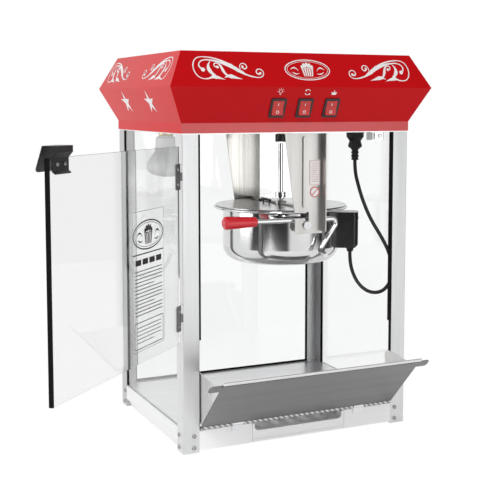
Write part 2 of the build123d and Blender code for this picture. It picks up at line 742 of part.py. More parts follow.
def door_glass():
    return door_block(5, DOOR_LEN, 0, GLASS_T, DOOR_Z0, DOOR_Z1)


def door_edge_trim():
    outer = door_block(DOOR_LEN - 2, DOOR_LEN + 1, -0.6, GLASS_T + 0.6, DOOR_Z0, DOOR_Z1)
    return outer - door_glass()


def door_handle():
    """Bent strip hooked over the top of the glass: striker inside, pull flap outside."""
    line = [(-4.0, 444), (-0.01, 447), (-0.01, 463.5), (-6, 470), (-6, 475.5), (12, 475.5), (22, 446)]
    strip = folded([(-n, z) for n, z in line], 1.5)
    plane_points = [(DOOR_AXIS_Y + p, z) for p, z in strip]
    handle = prism_x(plane_points, DOOR_AXIS_X + HANDLE_A[0], DOOR_AXIS_X + HANDLE_A[1])
    foot = handle.edges().filter_by(Axis.Y, tolerance=25).group_by(Axis.Z)[0]
    return fillet(foot, 5)


def door_bore(z):
    """Hole for the hinge pin through all knuckles of one door hinge."""
    reach = DOOR_HINGE_H / 2 + 1
    return bar(1.55, (DOOR_AXIS_X, DOOR_AXIS_Y, z - reach), (DOOR_AXIS_X, DOOR_AXIS_Y, z + reach))


def fixed_door_leaf(z):
    """Leaf on the left face of the post with the two outer knuckles."""
    half = DOOR_HINGE_H / 2
    third = 6.5
    leaf = block(-HW - 1.5, -HW, -HD + 0.5, -HD + 16, z - half, z + half)
    for s in (-1, 1):
        low = min(z + s * third, z + s * half)
        high = max(z + s * third, z + s * half)
        leaf = leaf + block(-HW - 1.5, -HW, DOOR_AXIS_Y, -HD + 1, low, high)
        leaf = leaf + bar(3, (DOOR_AXIS_X, DOOR_AXIS_Y, low), (DOOR_AXIS_X, DOOR_AXIS_Y, high))
    return leaf - door_bore(z)


def moving_door_leaf(z):
    """Leaf on the inner face of the glass with the middle knuckle."""
    half = DOOR_HINGE_H / 2
    leaf = door_block(4.0, 17, -1.5, 0, z - half, z + half)
    leaf = fillet(leaf.edges().filter_by(Axis.Y).group_by(Axis.X)[-1], 3)
    leaf = leaf + door_block(0, 6, -1.5, 0, z - 6.0, z + 6.0)
    leaf = leaf + bar(3, (DOOR_AXIS_X, DOOR_AXIS_Y, z - 6.0), (DOOR_AXIS_X, DOOR_AXIS_Y, z + 6.0))
    return leaf - door_bore(z)


def door_screws():
    screws = []
    for z in DOOR_HINGE_Z:
        for dz in (-11, 11):
            screws.append(dome_screw(2.6, (DOOR_AXIS_X + 11, DOOR_AXIS_Y + 1.5, z + dz), (0, 1, 0), 1.5))
    for a in (315.0, 331.0):
        screws.append(dome_screw(2.6, (DOOR_AXIS_X + a, DOOR_AXIS_Y + 1.52, 455.5), (0, 1, 0), 1.5))
    return group(*screws)


door_holes = [bar(1.6, (DOOR_AXIS_X + a, DOOR_AXIS_Y - 1, z), (DOOR_AXIS_X + a, DOOR_AXIS_Y + 3, z))
              for a, z in [(11, hz + dz) for hz in DOOR_HINGE_Z for dz in (-11, 11)] +
              [(315.0, 455.5), (331.0, 455.5)]]
save("door_glass", single(door_open(door_glass())))
save("door_edge_trim", single(door_open(door_edge_trim())))
save("door_handle", single(door_open(door_handle() - door_holes)))
save("door_hinge_leaves", group(*[door_open(moving_door_leaf(z) - door_holes) for z in DOOR_HINGE_Z]))
save("door_screws", group(door_open(door_screws())))


# ---- chute ----
def chute_open(shape):
    """Tip a piece built with the chute closed to the rest pose."""
    axis = Axis((0, CHUTE_AXIS_Y, CHUTE_AXIS_Z), (1, 0, 0))
    return shape.rotate(axis, CHUTE_OPEN)


TAB_X = (98.0, 116.0)


def chute_bar(radius, x0, x1):
    """Round bar on the chute's hinge axis."""
    return bar(radius, (x0, CHUTE_AXIS_Y, CHUTE_AXIS_Z), (x1, CHUTE_AXIS_Y, CHUTE_AXIS_Z))


def chute_panel():
    """Sheet panel with a hemmed lip, rounded ears past both ends and rolled hinge curls."""
    y1 = CHUTE_AXIS_Y + 0.6
    y0 = y1 - CHUTE_T
    top = CHUTE_AXIS_Z + CHUTE_LEN
    panel = block(-CHUTE_HALF, CHUTE_HALF, y0, y1, CHUTE_AXIS_Z + 2, top)
    hem = block(-CHUTE_HALF, CHUTE_HALF, y0 - 2.0, y0, top - 9, top)
    hem = hem - block(-CHUTE_HALF - 1, CHUTE_HALF + 1, y0 - 2.1, y0 - 1.2, top - 5.2, top - 3.8)
    panel = panel + hem + bar(1.6, (-CHUTE_HALF, y0 - 0.4, top), (CHUTE_HALF, y0 - 0.4, top))
    ear = block(-CHUTE_HALF - 19, CHUTE_HALF + 19, y0, y1, top - 22, top - 6.5)
    panel = panel + fillet(ear.edges().filter_by(Axis.Y), 5)
    gaps = [-CHUTE_HALF, -TAB_X[1] - 0.5, -TAB_X[0] + 0.5, TAB_X[0] - 0.5, TAB_X[1] + 0.5, CHUTE_HALF]
    for left, right in zip(gaps[::2], gaps[1::2]):
        panel = panel + chute_bar(BARREL_R, left, right)
    for s in (-1, 1):
        a, b = sorted((s * (TAB_X[0] - 0.5), s * (TAB_X[1] + 0.5)))
        panel = panel - block(a, b, y0 - 1, y1 + 1, CHUTE_AXIS_Z - 4, CHUTE_AXIS_Z + 3.1)
    return panel - chute_bar(CHUTE_PIN_R + 0.05, -200, 200)


def chute_cheek():
    """Left side plate of the chute, drawn in the open pose, with its stop tab behind the post."""
    slope = radians(CHUTE_OPEN)
    reach = 106.0
    lift = 1.4
    foot = (CHUTE_AXIS_Y - 8 * sin(slope) + lift * cos(slope),
            CHUTE_AXIS_Z + 8 * cos(slope) + lift * sin(slope))
    nose = (CHUTE_AXIS_Y - reach * sin(slope) + 0.55, CHUTE_AXIS_Z + reach * cos(slope) + 0.6)
    outline = [foot, nose, (-184.5, 119), (-146, 122), (-136, 118), (-136, 56), (-145, 45.5)]
    plate = prism_x(outline, -CHUTE_HALF, -CHUTE_HALF + CHUTE_T)
    flange = prism_x([foot, nose, (nose[0] + 0.9, nose[1] + 0.9), (foot[0] + 0.9, foot[1] + 0.9)],
                     -CHUTE_HALF, -CHUTE_HALF + 9)
    tab = block(-CHUTE_HALF - 5, -CHUTE_HALF + 0.4, -HD + POST_T + 0.35, -HD + POST_T + 1.55, 96, 117)
    return plate + flange + tab


save("chute_panel", single(chute_open(chute_panel())))
save("chute_cheeks", group(chute_cheek(), mirrored_x(chute_cheek())))


def chute_tab(s):
    """Fixed hinge tab riveted on the front rail."""
    a, b = sorted((s * TAB_X[0], s * TAB_X[1]))
    tab = block(a, b, -HD - 1.2, -HD, 26.5, CHUTE_AXIS_Z)
    tab = tab + chute_bar(BARREL_R, a, b)
    return tab - chute_bar(CHUTE_PIN_R + 0.05, -200, 200)


door_pins = [bar(1.5, (DOOR_AXIS_X, DOOR_AXIS_Y, z - DOOR_HINGE_H / 2 - 0.8),
                 (DOOR_AXIS_X, DOOR_AXIS_Y, z + DOOR_HINGE_H / 2 + 0.8)) for z in DOOR_HINGE_Z]
chute_pin = chute_bar(CHUTE_PIN_R, -CHUTE_HALF, CHUTE_HALF)
save("fixed_hinge_leaves", group(*[fixed_door_leaf(z) for z in DOOR_HINGE_Z], chute_tab(-1), chute_tab(1)))
save("hinge_pins", group(*door_pins, chute_pin))


# ---- crumb drawer ----
def drawer():
    """Thin tray whose front is cut away along the top for the fingers."""
    wall = 1.0
    body = block(-DRAWER_HALF + 3, DRAWER_HALF - 3, -HD + 1.2, DRAWER_BACK, DRAWER_Z0 + 1, DRAWER_Z1 - 2)
    body = body - block(-DRAWER_HALF + 4, DRAWER_HALF - 4, -HD + 2.4, DRAWER_BACK - wall, DRAWER_Z0 + 2, 60)
    front = block(-DRAWER_HALF, DRAWER_HALF, -HD, -HD + 2.4, DRAWER_Z0, DRAWER_Z1)
    slot = block(-77, 77, -HD - 1, -HD + 2.6, 21, 45)
    slot = fillet(slot.edges().filter_by(Axis.Y), 7)
    guard = block(-77, 77, -HD + 2.4, -HD + 12, 19, 20)
    lip = block(-DRAWER_HALF + 2, DRAWER_HALF - 2, -HD - 1.2, -HD, DRAWER_Z0, DRAWER_Z0 + 1.5)
    return body + front - slot + guard + lip


def drawer_runners():
    left = block(-DRAWER_HALF + 1.4, -DRAWER_HALF + 2.6, -HD + POST_T + 1, DRAWER_BACK + 6, 3, 20)
    stop = block(-60, 60, DRAWER_BACK + 1, DRAWER_BACK + 2.2, 3, 20)
    return group(left, mirrored_x(left), stop)


save("crumb_drawer", single(drawer()))
save("drawer_runners", drawer_runners())


# ---- catch, switches, inlet, screws ----
def door_catch():
    """Magnetic catch under the ceiling: case with two pole plates facing the door."""
    case = block(131, 155, -143.5, -128, 467, CEILING_Z)
    case = fillet(case.edges().filter_by(Axis.Z), 1.5)
    poles = [block(x, x + 1.6, -145.6, -143.5, 468, 478.5) for x in (132.5, 136.5)]
    screw = dome_screw(3.6, (148, -143.5, 473.4), (0, -1, 0), 2)
    return single(case + poles + screw)


save("door_catch", door_catch())


def switch_housing():
    """Snap-in rocker housing: bezel, bored for the rocker's pins."""
    bezel = Box(25.5, 31.5, 2.0, align=(Align.CENTER, Align.CENTER, Align.MIN))
    bezel = fillet(bezel.edges().filter_by(Axis.Z), 2)
    body = Box(21.8, 27.8, 20, align=(Align.CENTER, Align.CENTER, Align.MAX))
    well = Pos(0, 0, -9) * Box(19, 25, 12, align=(Align.CENTER, Align.CENTER, Align.MIN))
    pins = bar(1.6, (-10.6, 0, -3), (10.6, 0, -3))
    return bezel + body - well - pins


def rocker():
    """Rocker with a shallow V face and raised on and off marks."""
    profile = [(-11.5, -4.5), (11.5, -4.5), (11.5, 3.4), (0, 2.0), (-11.5, 3.4)]
    body = prism_x(profile, -9.1, 9.1)
    return body + bar(1.55, (-10.4, 0, -3), (10.4, 0, -3))


save("switch_housings", group(*[slope_place(x, SWITCH_UP) * switch_housing() for x in SWITCH_X]))
for name, x in zip(("rocker_light", "rocker_motor", "rocker_heat"), SWITCH_X):
    tipped = rocker().rotate(Axis((0, 0, -3), (1, 0, 0)), -SWITCH_TILT)
    save(name, single(slope_place(x, SWITCH_UP) * tipped))


def power_inlet():
    """Appliance inlet in the rear slope."""
    flange = Box(34, 28, 2.0, align=(Align.CENTER, Align.CENTER, Align.MIN))
    body = Box(27.8, 21.8, 24, align=(Align.CENTER, Align.CENTER, Align.MAX))
    well = Pos(0, 0, -16) * Box(24, 16, 19, align=(Align.CENTER, Align.CENTER, Align.MIN))
    pin = Box(2, 4, 14, align=(Align.CENTER, Align.CENTER, Align.MIN))
    pins = [Pos(x, 0, -16) * pin for x in (-7, 0, 7)]
    return slope_place(-110, SWITCH_UP, 180) * (flange + body - well + pins)


save("power_inlet", single(power_inlet()))


def cabinet_screws():
    """Screws through the post feet into the rails, two on each outside face."""
    screws = []
    for sx in (-1, 1):
        for sy in (-1, 1):
            for z in FOOT_SCREW_Z:
                screws.append(dome_screw(3.4, (sx * (HW - FOOT_SCREW_IN), sy * HD, z), (0, sy, 0)))
                screws.append(dome_screw(3.4, (sx * HW, sy * (HD - FOOT_SCREW_IN), z), (sx, 0, 0)))
    return screws


save("cabinet_screws", group(*cabinet_screws()))
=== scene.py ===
import json
from math import atan, copysign, cos, hypot, pi, radians, sin

import bpy
from mathutils import Matrix, Vector


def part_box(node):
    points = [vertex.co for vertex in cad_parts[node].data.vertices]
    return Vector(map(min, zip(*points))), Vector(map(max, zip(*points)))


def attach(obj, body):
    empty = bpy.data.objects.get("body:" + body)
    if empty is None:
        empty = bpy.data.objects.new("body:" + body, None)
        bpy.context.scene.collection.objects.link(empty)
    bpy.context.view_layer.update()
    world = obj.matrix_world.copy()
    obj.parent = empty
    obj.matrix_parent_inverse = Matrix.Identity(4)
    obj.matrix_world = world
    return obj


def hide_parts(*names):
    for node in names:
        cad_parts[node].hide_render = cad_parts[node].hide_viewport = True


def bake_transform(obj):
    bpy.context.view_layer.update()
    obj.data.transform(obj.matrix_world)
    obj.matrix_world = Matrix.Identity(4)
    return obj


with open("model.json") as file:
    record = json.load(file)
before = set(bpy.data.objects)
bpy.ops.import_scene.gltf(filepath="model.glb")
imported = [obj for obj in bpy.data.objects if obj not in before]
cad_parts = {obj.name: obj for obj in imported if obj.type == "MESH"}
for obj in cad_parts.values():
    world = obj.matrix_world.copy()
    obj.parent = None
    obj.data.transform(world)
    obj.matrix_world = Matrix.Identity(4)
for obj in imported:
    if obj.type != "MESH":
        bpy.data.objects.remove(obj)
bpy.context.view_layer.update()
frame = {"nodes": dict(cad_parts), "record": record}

MM = 0.001

# ---- measures read from the frame ----
CABINET_LO, CABINET_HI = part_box("front_posts")
BAND_LO, BAND_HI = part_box("canopy_front")
JACKET_LO, JACKET_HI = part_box("kettle_jacket")
PLUG_LO, PLUG_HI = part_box("kettle_plug")
HALF_W = CABINET_HI[0]
HALF_D = -CABINET_LO[1]
KETTLE_X = (JACKET_LO[0] + JACKET_HI[0]) / 2

# ---- canopy faces, as built: how far each edge stands out from the cabinet, and its height ----
BAND_OUT = 1.0 * MM
RIDGE_OUT = 27.0 * MM
BAND_UP = 15.0 * MM
RIDGE_UP = 68.5 * MM
BAND_TOP = BAND_LO[2] + BAND_UP
RIDGE_Z = BAND_LO[2] + RIDGE_UP
CANOPY_TOP = BAND_HI[2]
SLOPE_RUN = RIDGE_OUT - BAND_OUT
LOWER_RISE = RIDGE_Z - BAND_TOP
UPPER_RISE = CANOPY_TOP - RIDGE_Z

# ---- joints ----
JOINTS = {joint["name"]: joint for joint in frame["record"]["behaviour"]["joints"]}
DOOR_AXIS = Vector(JOINTS["door_swing"]["pos_m"])
DOOR_CLOSED = radians(JOINTS["door_swing"]["range_deg"][1])
CHUTE_AXIS = JOINTS["chute_tilt"]["pos_m"]


# ---- camera ----
CAMERA_AT = Vector((-0.727, -1.5435, 0.526))
CAMERA_YAW = 24.93       # degrees, from the left of the front
CAMERA_PITCH = -5.25
CAMERA_LENS = 73.4       # millimetres, on a 36 mm sensor
CAMERA_SHIFT = (-0.007, -0.1066)


def make_camera():
    data = bpy.data.cameras.new("camera")
    data.lens = CAMERA_LENS
    data.sensor_width = 36
    data.shift_x, data.shift_y = CAMERA_SHIFT
    camera = bpy.data.objects.new("camera", data)
    camera.location = CAMERA_AT
    camera.rotation_euler = (radians(90 + CAMERA_PITCH), 0, radians(-CAMERA_YAW))
    bpy.context.collection.objects.link(camera)
    bpy.context.scene.camera = camera


make_camera()


# ---- object helpers ----
def mesh_object(name, verts, faces, body):
    mesh = bpy.data.meshes.new(name)
    mesh.from_pydata([tuple(v) for v in verts], [], faces)
    mesh.validate()
    obj = bpy.data.objects.new(name, mesh)
    bpy.context.collection.objects.link(obj)
    if body:
        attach(obj, body)
    return obj


def paint(obj, material):
    obj.data.materials.clear()
    obj.data.materials.append(material)


# ---- kettle cord ----
CORD_D = 6.0 * MM
GLAND_R = 118.0 * MM
GLAND_TURN = radians(-30)
GLAND_Z = 0.276
GLAND_FOOT = Vector((KETTLE_X + GLAND_R * cos(GLAND_TURN), GLAND_R * sin(GLAND_TURN), GLAND_Z))
SLEEVE_Z = 0.4135        # the cord is straight from here up into the plug's strain relief
BULGE = (0.42, -0.907)   # the cord hangs in one upright plane, which runs this way from the gland
# Points of the cord from the gland up to the plug: distance along that plane, and height.
CORD_LOOP = [(0, GLAND_Z), (0, 0.259), (0.0065, 0.238), (0.020, 0.2195), (0.0415, 0.2095),
             (0.065, 0.2135), (0.0815, 0.231), (0.0845, 0.255), (0.079, 0.281), (0.063, 0.306),
             (0.042, 0.3325), (0.026, 0.362), (0.015, 0.391)]


def cord_points():
    plug_x = (PLUG_LO[0] + PLUG_HI[0]) / 2
    plug_y = (PLUG_LO[1] + PLUG_HI[1]) / 2
    points = [(GLAND_FOOT.x + BULGE[0] * s, GLAND_FOOT.y + BULGE[1] * s, z) for s, z in CORD_LOOP]
    return points + [(plug_x, plug_y, SLEEVE_Z), (plug_x, plug_y, PLUG_LO[2])]


def route_curve(points):
    curve = bpy.data.curves.new("cord_route", "CURVE")
    curve.dimensions = "3D"
    curve.resolution_u = 10
    spline = curve.splines.new("NURBS")
    spline.points.add(len(points) - 1)
    for point, at in zip(spline.points, points):
        point.co = (*at, 1)
    spline.order_u = 3
    spline.use_endpoint_u = True
    return curve


def curve_mesh(curve):
    holder = bpy.data.objects.new("cord_holder", curve)
    bpy.context.collection.objects.link(holder)
    bpy.context.view_layer.update()
    mesh = bpy.data.meshes.new_from_object(holder)
    bpy.data.objects.remove(holder)
    return mesh


def make_cord():
    line = curve_mesh(route_curve(cord_points()))
    tube_curve = route_curve(cord_points())
    tube_curve.bevel_depth = CORD_D / 2
    tube_curve.bevel_resolution = 6
    tube_curve.use_fill_caps = True
    mesh = curve_mesh(tube_curve)
    mesh.shade_smooth()
    cord = bpy.data.objects.new("cord", mesh)
    bpy.context.collection.objects.link(cord)
    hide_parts("kettle_cord")
    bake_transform(cord)
    return cord


cord = make_cord()


# ---- material helpers ----
class Shader:
    """A principled material and the few node chains that the surfaces share."""

    def __init__(self, name, colour, roughness, metallic=0.0, coat=0.0, coat_roughness=0.05,
                 specular=0.5):
        self.material = bpy.data.materials.new(name)
        self.material.use_nodes = True
        self.tree = self.material.node_tree
        self.principled = self.tree.nodes["Principled BSDF"]
        self.bumps = []
        self.set("Base Color", (*colour, 1))
        self.set("Roughness", roughness)
        self.set("Metallic", metallic)
        self.set("Coat Weight", coat)
        self.set("Coat Roughness", coat_roughness)
        self.set("Specular IOR Level", specular)

    def set(self, socket, value):
        self.principled.inputs[socket].default_value = value

    def node(self, kind, **values):
        node = self.tree.nodes.new(kind)
        for key, value in values.items():
            setattr(node, key, value)
        return node

    def link(self, start, end):
        self.tree.links.new(start, end)

    def feed(self, start, socket):
        """Drives one of the surface's own sockets."""
        self.link(start, self.principled.inputs[socket])

    def place(self, stretch=(1, 1, 1), turn=(0, 0, 0)):
        coords = self.node("ShaderNodeTexCoord")
        mapping = self.node("ShaderNodeMapping")
        mapping.inputs["Scale"].default_value = stretch
        mapping.inputs["Rotation"].default_value = turn
        self.link(coords.outputs["Object"], mapping.inputs["Vector"])
        return mapping.outputs["Vector"]

    def noise(self, scale, stretch=(1, 1, 1), detail=3.0, vector=None):
        node = self.node("ShaderNodeTexNoise")
        node.inputs["Scale"].default_value = scale
        node.inputs["Detail"].default_value = detail
        self.link(vector or self.place(stretch), node.inputs["Vector"])
        return node.outputs["Fac"]

    def remap(self, value, low, high, start=0.3, end=0.7):
        node = self.node("ShaderNodeMapRange")
        node.inputs["From Min"].default_value = start
        node.inputs["From Max"].default_value = end
        node.inputs["To Min"].default_value = low
        node.inputs["To Max"].default_value = high
        self.link(value, node.inputs["Value"])
        return node.outputs["Result"]

    def height(self):
        """Height of the point, in metres."""
        split = self.node("ShaderNodeSeparateXYZ")
        self.link(self.node("ShaderNodeTexCoord").outputs["Object"], split.inputs["Vector"])
        return split.outputs["Z"]

    def away_from(self, axis, across):
        """Distance from an axis; across is 1 in the directions that count and 0 along the axis."""
        middle = self.node("ShaderNodeVectorMath", operation="SUBTRACT")
        middle.inputs[1].default_value = axis
        self.link(self.node("ShaderNodeTexCoord").outputs["Object"], middle.inputs[0])
        flat = self.node("ShaderNodeVectorMath", operation="MULTIPLY")
        flat.inputs[1].default_value = across
        self.link(middle.outputs[0], flat.inputs[0])
        away = self.node("ShaderNodeVectorMath", operation="LENGTH")
        self.link(flat.outputs[0], away.inputs[0])
        return away.outputs["Value"]

    def mix(self, factor, first, second):
        """Blends two colours, each a socket or a plain colour."""
        node = self.node("ShaderNodeMix", data_type="RGBA")
        self.link(factor, node.inputs[0])
        for socket, value in zip(node.inputs[6:8], (first, second)):
            if isinstance(value, tuple):
                socket.default_value = (*value, 1)
            else:
                self.link(value, socket)
        return node.outputs[2]

    def ramp(self, value, dark, light, start=0.3, end=0.7):
        node = self.node("ShaderNodeValToRGB")
        for element, at, colour in zip(node.color_ramp.elements, (start, end), (dark, light)):
            element.position = at
            element.color = (*colour, 1)
        self.link(value, node.inputs["Fac"])
        return node.outputs["Color"]

    def tint(self, value, dark, light, start=0.3, end=0.7):
        self.feed(self.ramp(value, dark, light, start, end), "Base Color")

    def vary_roughness(self, value, low, high):
        self.feed(self.remap(value, low, high), "Roughness")

    def bump(self, value, height, strength):
        node = self.node("ShaderNodeBump")
        node.inputs["Strength"].default_value = strength
        node.inputs["Distance"].default_value = height
        self.link(value, node.inputs["Height"])
        if self.bumps:
            self.link(self.bumps[-1].outputs["Normal"], node.inputs["Normal"])
        self.feed(node.outputs["Normal"], "Normal")
        self.bumps.append(node)


BRUSH_GRAIN = 900.0
BRUSH_STRETCH = 0.012
BRUSH_DEPTH = 0.04 * MM
BRUSH_STRENGTH = 0.35
RING_DEPTH = 0.02 * MM    # turned rings of spun metal
GRAIN_DEPTH = 0.06 * MM   # moulded plastic and rubber
PEEL_DEPTH = 0.03 * MM    # orange peel of the powder coat, and the lamp's frosting
ENAMEL_GLOSS = 0.15
BAND_GLOSS = 0.95


def shades(colour, contrast):
    """The colour a little darker and a little lighter."""
    return [c * (1 - contrast) for c in colour], [min(1.0, c * (1 + contrast)) for c in colour]


def brushed(name, colour, along, roughness=0.32, contrast=0.12, metallic=1.0):
    """Brushed metal whose lines run along one axis of the machine."""
    stretch = [1.0, 1.0, 1.0]
    stretch["XYZ".index(along)] = BRUSH_STRETCH
    shader = Shader(name, colour, roughness, metallic=metallic)
    fine = shader.noise(BRUSH_GRAIN, stretch, detail=4)
    broad = shader.noise(BRUSH_GRAIN / 12, stretch, detail=2)
    shader.tint(fine, *shades(colour, contrast))
    shader.vary_roughness(broad, roughness - 0.05, roughness + 0.05)
    shader.bump(fine, BRUSH_DEPTH, BRUSH_STRENGTH)
    return shader.material


def polished(name, colour, roughness, rings=0.0, centre_x=0.0):
    """Spun and polished metal: faint turned rings round an upright axis, light smears."""
    shader = Shader(name, colour, roughness, metallic=1.0)
    ring = shader.node("ShaderNodeCombineXYZ")
    shader.link(shader.away_from((centre_x, 0, 0), (1, 1, 0)), ring.inputs["X"])
    shader.link(shader.height(), ring.inputs["Z"])
    turned = shader.noise(700, detail=2, vector=ring.outputs["Vector"])
    smear = shader.noise(14, detail=5)
    shader.vary_roughness(smear, roughness * 0.7, roughness * 1.9)
    shader.bump(turned, RING_DEPTH, rings)
    return shader.material


def moulded(name, colour, roughness=0.45, grain=1400.0, coat=0.0, contrast=0.15, specular=0.5):
    """Moulded plastic or rubber with a fine grain and uneven sheen."""
    shader = Shader(name, colour, roughness, coat=coat, specular=specular)
    fine = shader.noise(grain, detail=2)
    cloud = shader.noise(30, detail=4)
    shader.tint(cloud, *shades(colour, contrast))
    shader.vary_roughness(cloud, roughness - 0.06, roughness + 0.08)
    shader.bump(fine, GRAIN_DEPTH, 0.25)
    return shader.material


def enamel(name, colour, deep, glossy_below=None):
    """Powder-coated enamel: orange peel, faint colour drift, and more gloss below a height."""
    shader = Shader(name, colour, 0.28, specular=ENAMEL_GLOSS)
    if glossy_below:
        edge = 0.5 * MM
        gloss = shader.remap(shader.height(), BAND_GLOSS, ENAMEL_GLOSS, glossy_below - edge,
                             glossy_below + edge)
        shader.feed(gloss, "Specular IOR Level")
    shader.tint(shader.noise(9, detail=3), deep, colour, 0.0, 1.0)
    shader.bump(shader.noise(420, detail=2), PEEL_DEPTH, 0.12)
    return shader.material


def chute_sheet(name, colour, roll, lip):
    """Brushed sheet: painted slanting glints on the rolled hinge edge, and a painted highlight on the
    lip far from the hinge.
    """
    shader = Shader(name, colour, 0.34, metallic=1.0)
    fine = shader.noise(BRUSH_GRAIN, (BRUSH_STRETCH, 1, 1), detail=4)
    broad = shader.noise(60, (0.04, 1, 1), detail=3)
    painted_glint_bands = shader.node("ShaderNodeTexWave", wave_type="BANDS", bands_direction="X")
    painted_glint_bands.inputs["Scale"].default_value = 49
    painted_glint_bands.inputs["Distortion"].default_value = 0.6
    shader.link(shader.place(turn=(0, radians(45), 0)), painted_glint_bands.inputs["Vector"])
    away = shader.away_from((0, CHUTE_AXIS[1], CHUTE_AXIS[2]), (0, 1, 1))
    grain = shader.mix(fine, tuple(c * 0.86 for c in colour), tuple(c * 1.14 for c in colour))
    # painted glints: near the hinge the base colour turns to light and dark slanting bands
    lines = shader.mix(painted_glint_bands.outputs["Fac"], (0.20, 0.20, 0.20), (0.70, 0.70, 0.70))
    sheet = shader.mix(shader.remap(away, 1.0, 0.0, roll * 0.9, roll), grain, lines)
    # painted highlight: along the lip far from the hinge the base colour turns pale grey
    whole = shader.mix(shader.remap(away, 0.0, 1.0, lip, lip + 0.4 * MM), sheet, (0.80, 0.80, 0.80))
    shader.feed(whole, "Base Color")
    shader.vary_roughness(broad, 0.28, 0.40)
    shader.bump(fine, BRUSH_DEPTH, BRUSH_STRENGTH)
    return shader.material


def pane(name, tint):
    """Clear panel: refracts, and lets lamp light through."""
    shader = Shader(name, tint, 0.0)
    shader.set("Transmission Weight", 1.0)
    shader.set("IOR", 1.46)
    smudge = shader.noise(22, detail=6)
    shader.vary_roughness(smudge, 0.0, 0.03)
    rays = shader.node("ShaderNodeLightPath")
    through = shader.node("ShaderNodeBsdfTransparent")
    through.inputs["Color"].default_value = (*[0.94 + 0.06 * c for c in tint], 1)
    mixer = shader.node("ShaderNodeMixShader")
    shader.link(rays.outputs["Is Shadow Ray"], mixer.inputs[0])
    shader.link(shader.principled.outputs[0], mixer.inputs[1])
    shader.link(through.outputs[0], mixer.inputs[2])
    shader.link(mixer.outputs[0], shader.tree.nodes["Material Output"].inputs["Surface"])
    return shader.material


def frosted(name):
    """Frosted lamp glass: partly see-through, with a clear coat and a cloudy tone."""
    shader = Shader(name, (0.86, 0.87, 0.87), 0.42, coat=0.5, coat_roughness=0.2)
    shader.set("Transmission Weight", 0.35)
    shader.set("Subsurface Weight", 0.15)
    shader.set("Subsurface Radius", (0.01, 0.01, 0.01))
    shader.tint(shader.noise(60, detail=4), (0.74, 0.75, 0.76), (0.92, 0.92, 0.91))
    shader.bump(shader.noise(2600, detail=1), PEEL_DEPTH, 0.3)
    return shader.material


def film(name, colour):
    """Thin printed film: mostly see-through, faintly milky."""
    shader = Shader(name, colour, 0.5)
    shader.set("Alpha", 0.15)
    shader.tint(shader.noise(40, detail=3), [c * 0.97 for c in colour], colour)
    return shader.material


# ---- materials ----
CHUTE_LO, CHUTE_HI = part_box("chute_panel")
CHUTE_REACH = hypot(CHUTE_LO[1] - CHUTE_AXIS[1], CHUTE_HI[2] - CHUTE_AXIS[2])
CHUTE_ROLL = 3.6 * MM     # radius of the rolled hinge edge
CHUTE_LIP = 6.0 * MM      # width of the lip at the far edge, where a highlight is painted

ALUMINIUM = brushed("anodised_aluminium", (0.70, 0.705, 0.71), "Z", roughness=0.42, contrast=0.04,
                    metallic=0.9)
# The rear posts take a darker copy of the post aluminium: painted shade.
SHADED_REAR_ALUMINIUM = brushed("rear_aluminium_painted_shade", (0.56, 0.565, 0.57), "Z", roughness=0.42, contrast=0.04)
# The rails take brighter, less metallic copies of the post aluminium: painted reflection of the pale
# floor.
LIT_RAIL_ALUMINIUM = brushed("rail_aluminium_painted_reflection", (0.86, 0.865, 0.87), "Y", roughness=0.42, contrast=0.03,
                         metallic=0.7)
LIT_FRONT_ALUMINIUM = brushed("front_rail_aluminium_painted_reflection", (0.98, 0.98, 0.98), "X", roughness=0.48,
                          contrast=0.025, metallic=0.15)
CHEEK_STEEL = brushed("chute_cheek_steel", (0.86, 0.855, 0.845), "Z", roughness=0.30, contrast=0.05)
# The chute sheet is far darker than the cheek steel: painted shade on its face, besides its painted
# glints and highlight.
CHUTE_STEEL_PAINTED_LIGHT = chute_sheet("brushed_chute_steel_painted_light", (0.225, 0.225, 0.225), CHUTE_ROLL,
                          CHUTE_REACH - CHUTE_LIP)
PAN_STEEL = brushed("floor_steel", (0.84, 0.84, 0.85), "X", roughness=0.36, contrast=0.10)
HANGER_STEEL = brushed("hanger_steel", (0.50, 0.49, 0.475), "Z", roughness=0.34, contrast=0.06)
# The rear hanger takes a darker, glossier copy of the hanger steel: painted shade.
SHADED_REAR_HANGER_STEEL = brushed("rear_hanger_steel_painted_shade", (0.44, 0.43, 0.405), "Z", roughness=0.20)
SPUN_STEEL = polished("spun_steel", (0.74, 0.74, 0.74), 0.07, rings=0.35, centre_x=KETTLE_X)
LID_STEEL = brushed("lid_steel", (0.60, 0.60, 0.60), "Y", roughness=0.20, contrast=0.07)
CHROME = polished("bright_chrome", (0.80, 0.80, 0.81), 0.05)
ZINC = brushed("zinc_plate", (0.78, 0.79, 0.80), "Z", roughness=0.30, contrast=0.06)
GUN_METAL = brushed("gun_metal", (0.24, 0.24, 0.245), "Z", roughness=0.36, contrast=0.10)
SCREW_STEEL = polished("screw_steel", (0.42, 0.42, 0.43), 0.22)
RED_ENAMEL = enamel("red_enamel", (0.70, 0.0010, 0.005), (0.65, 0.0008, 0.004))
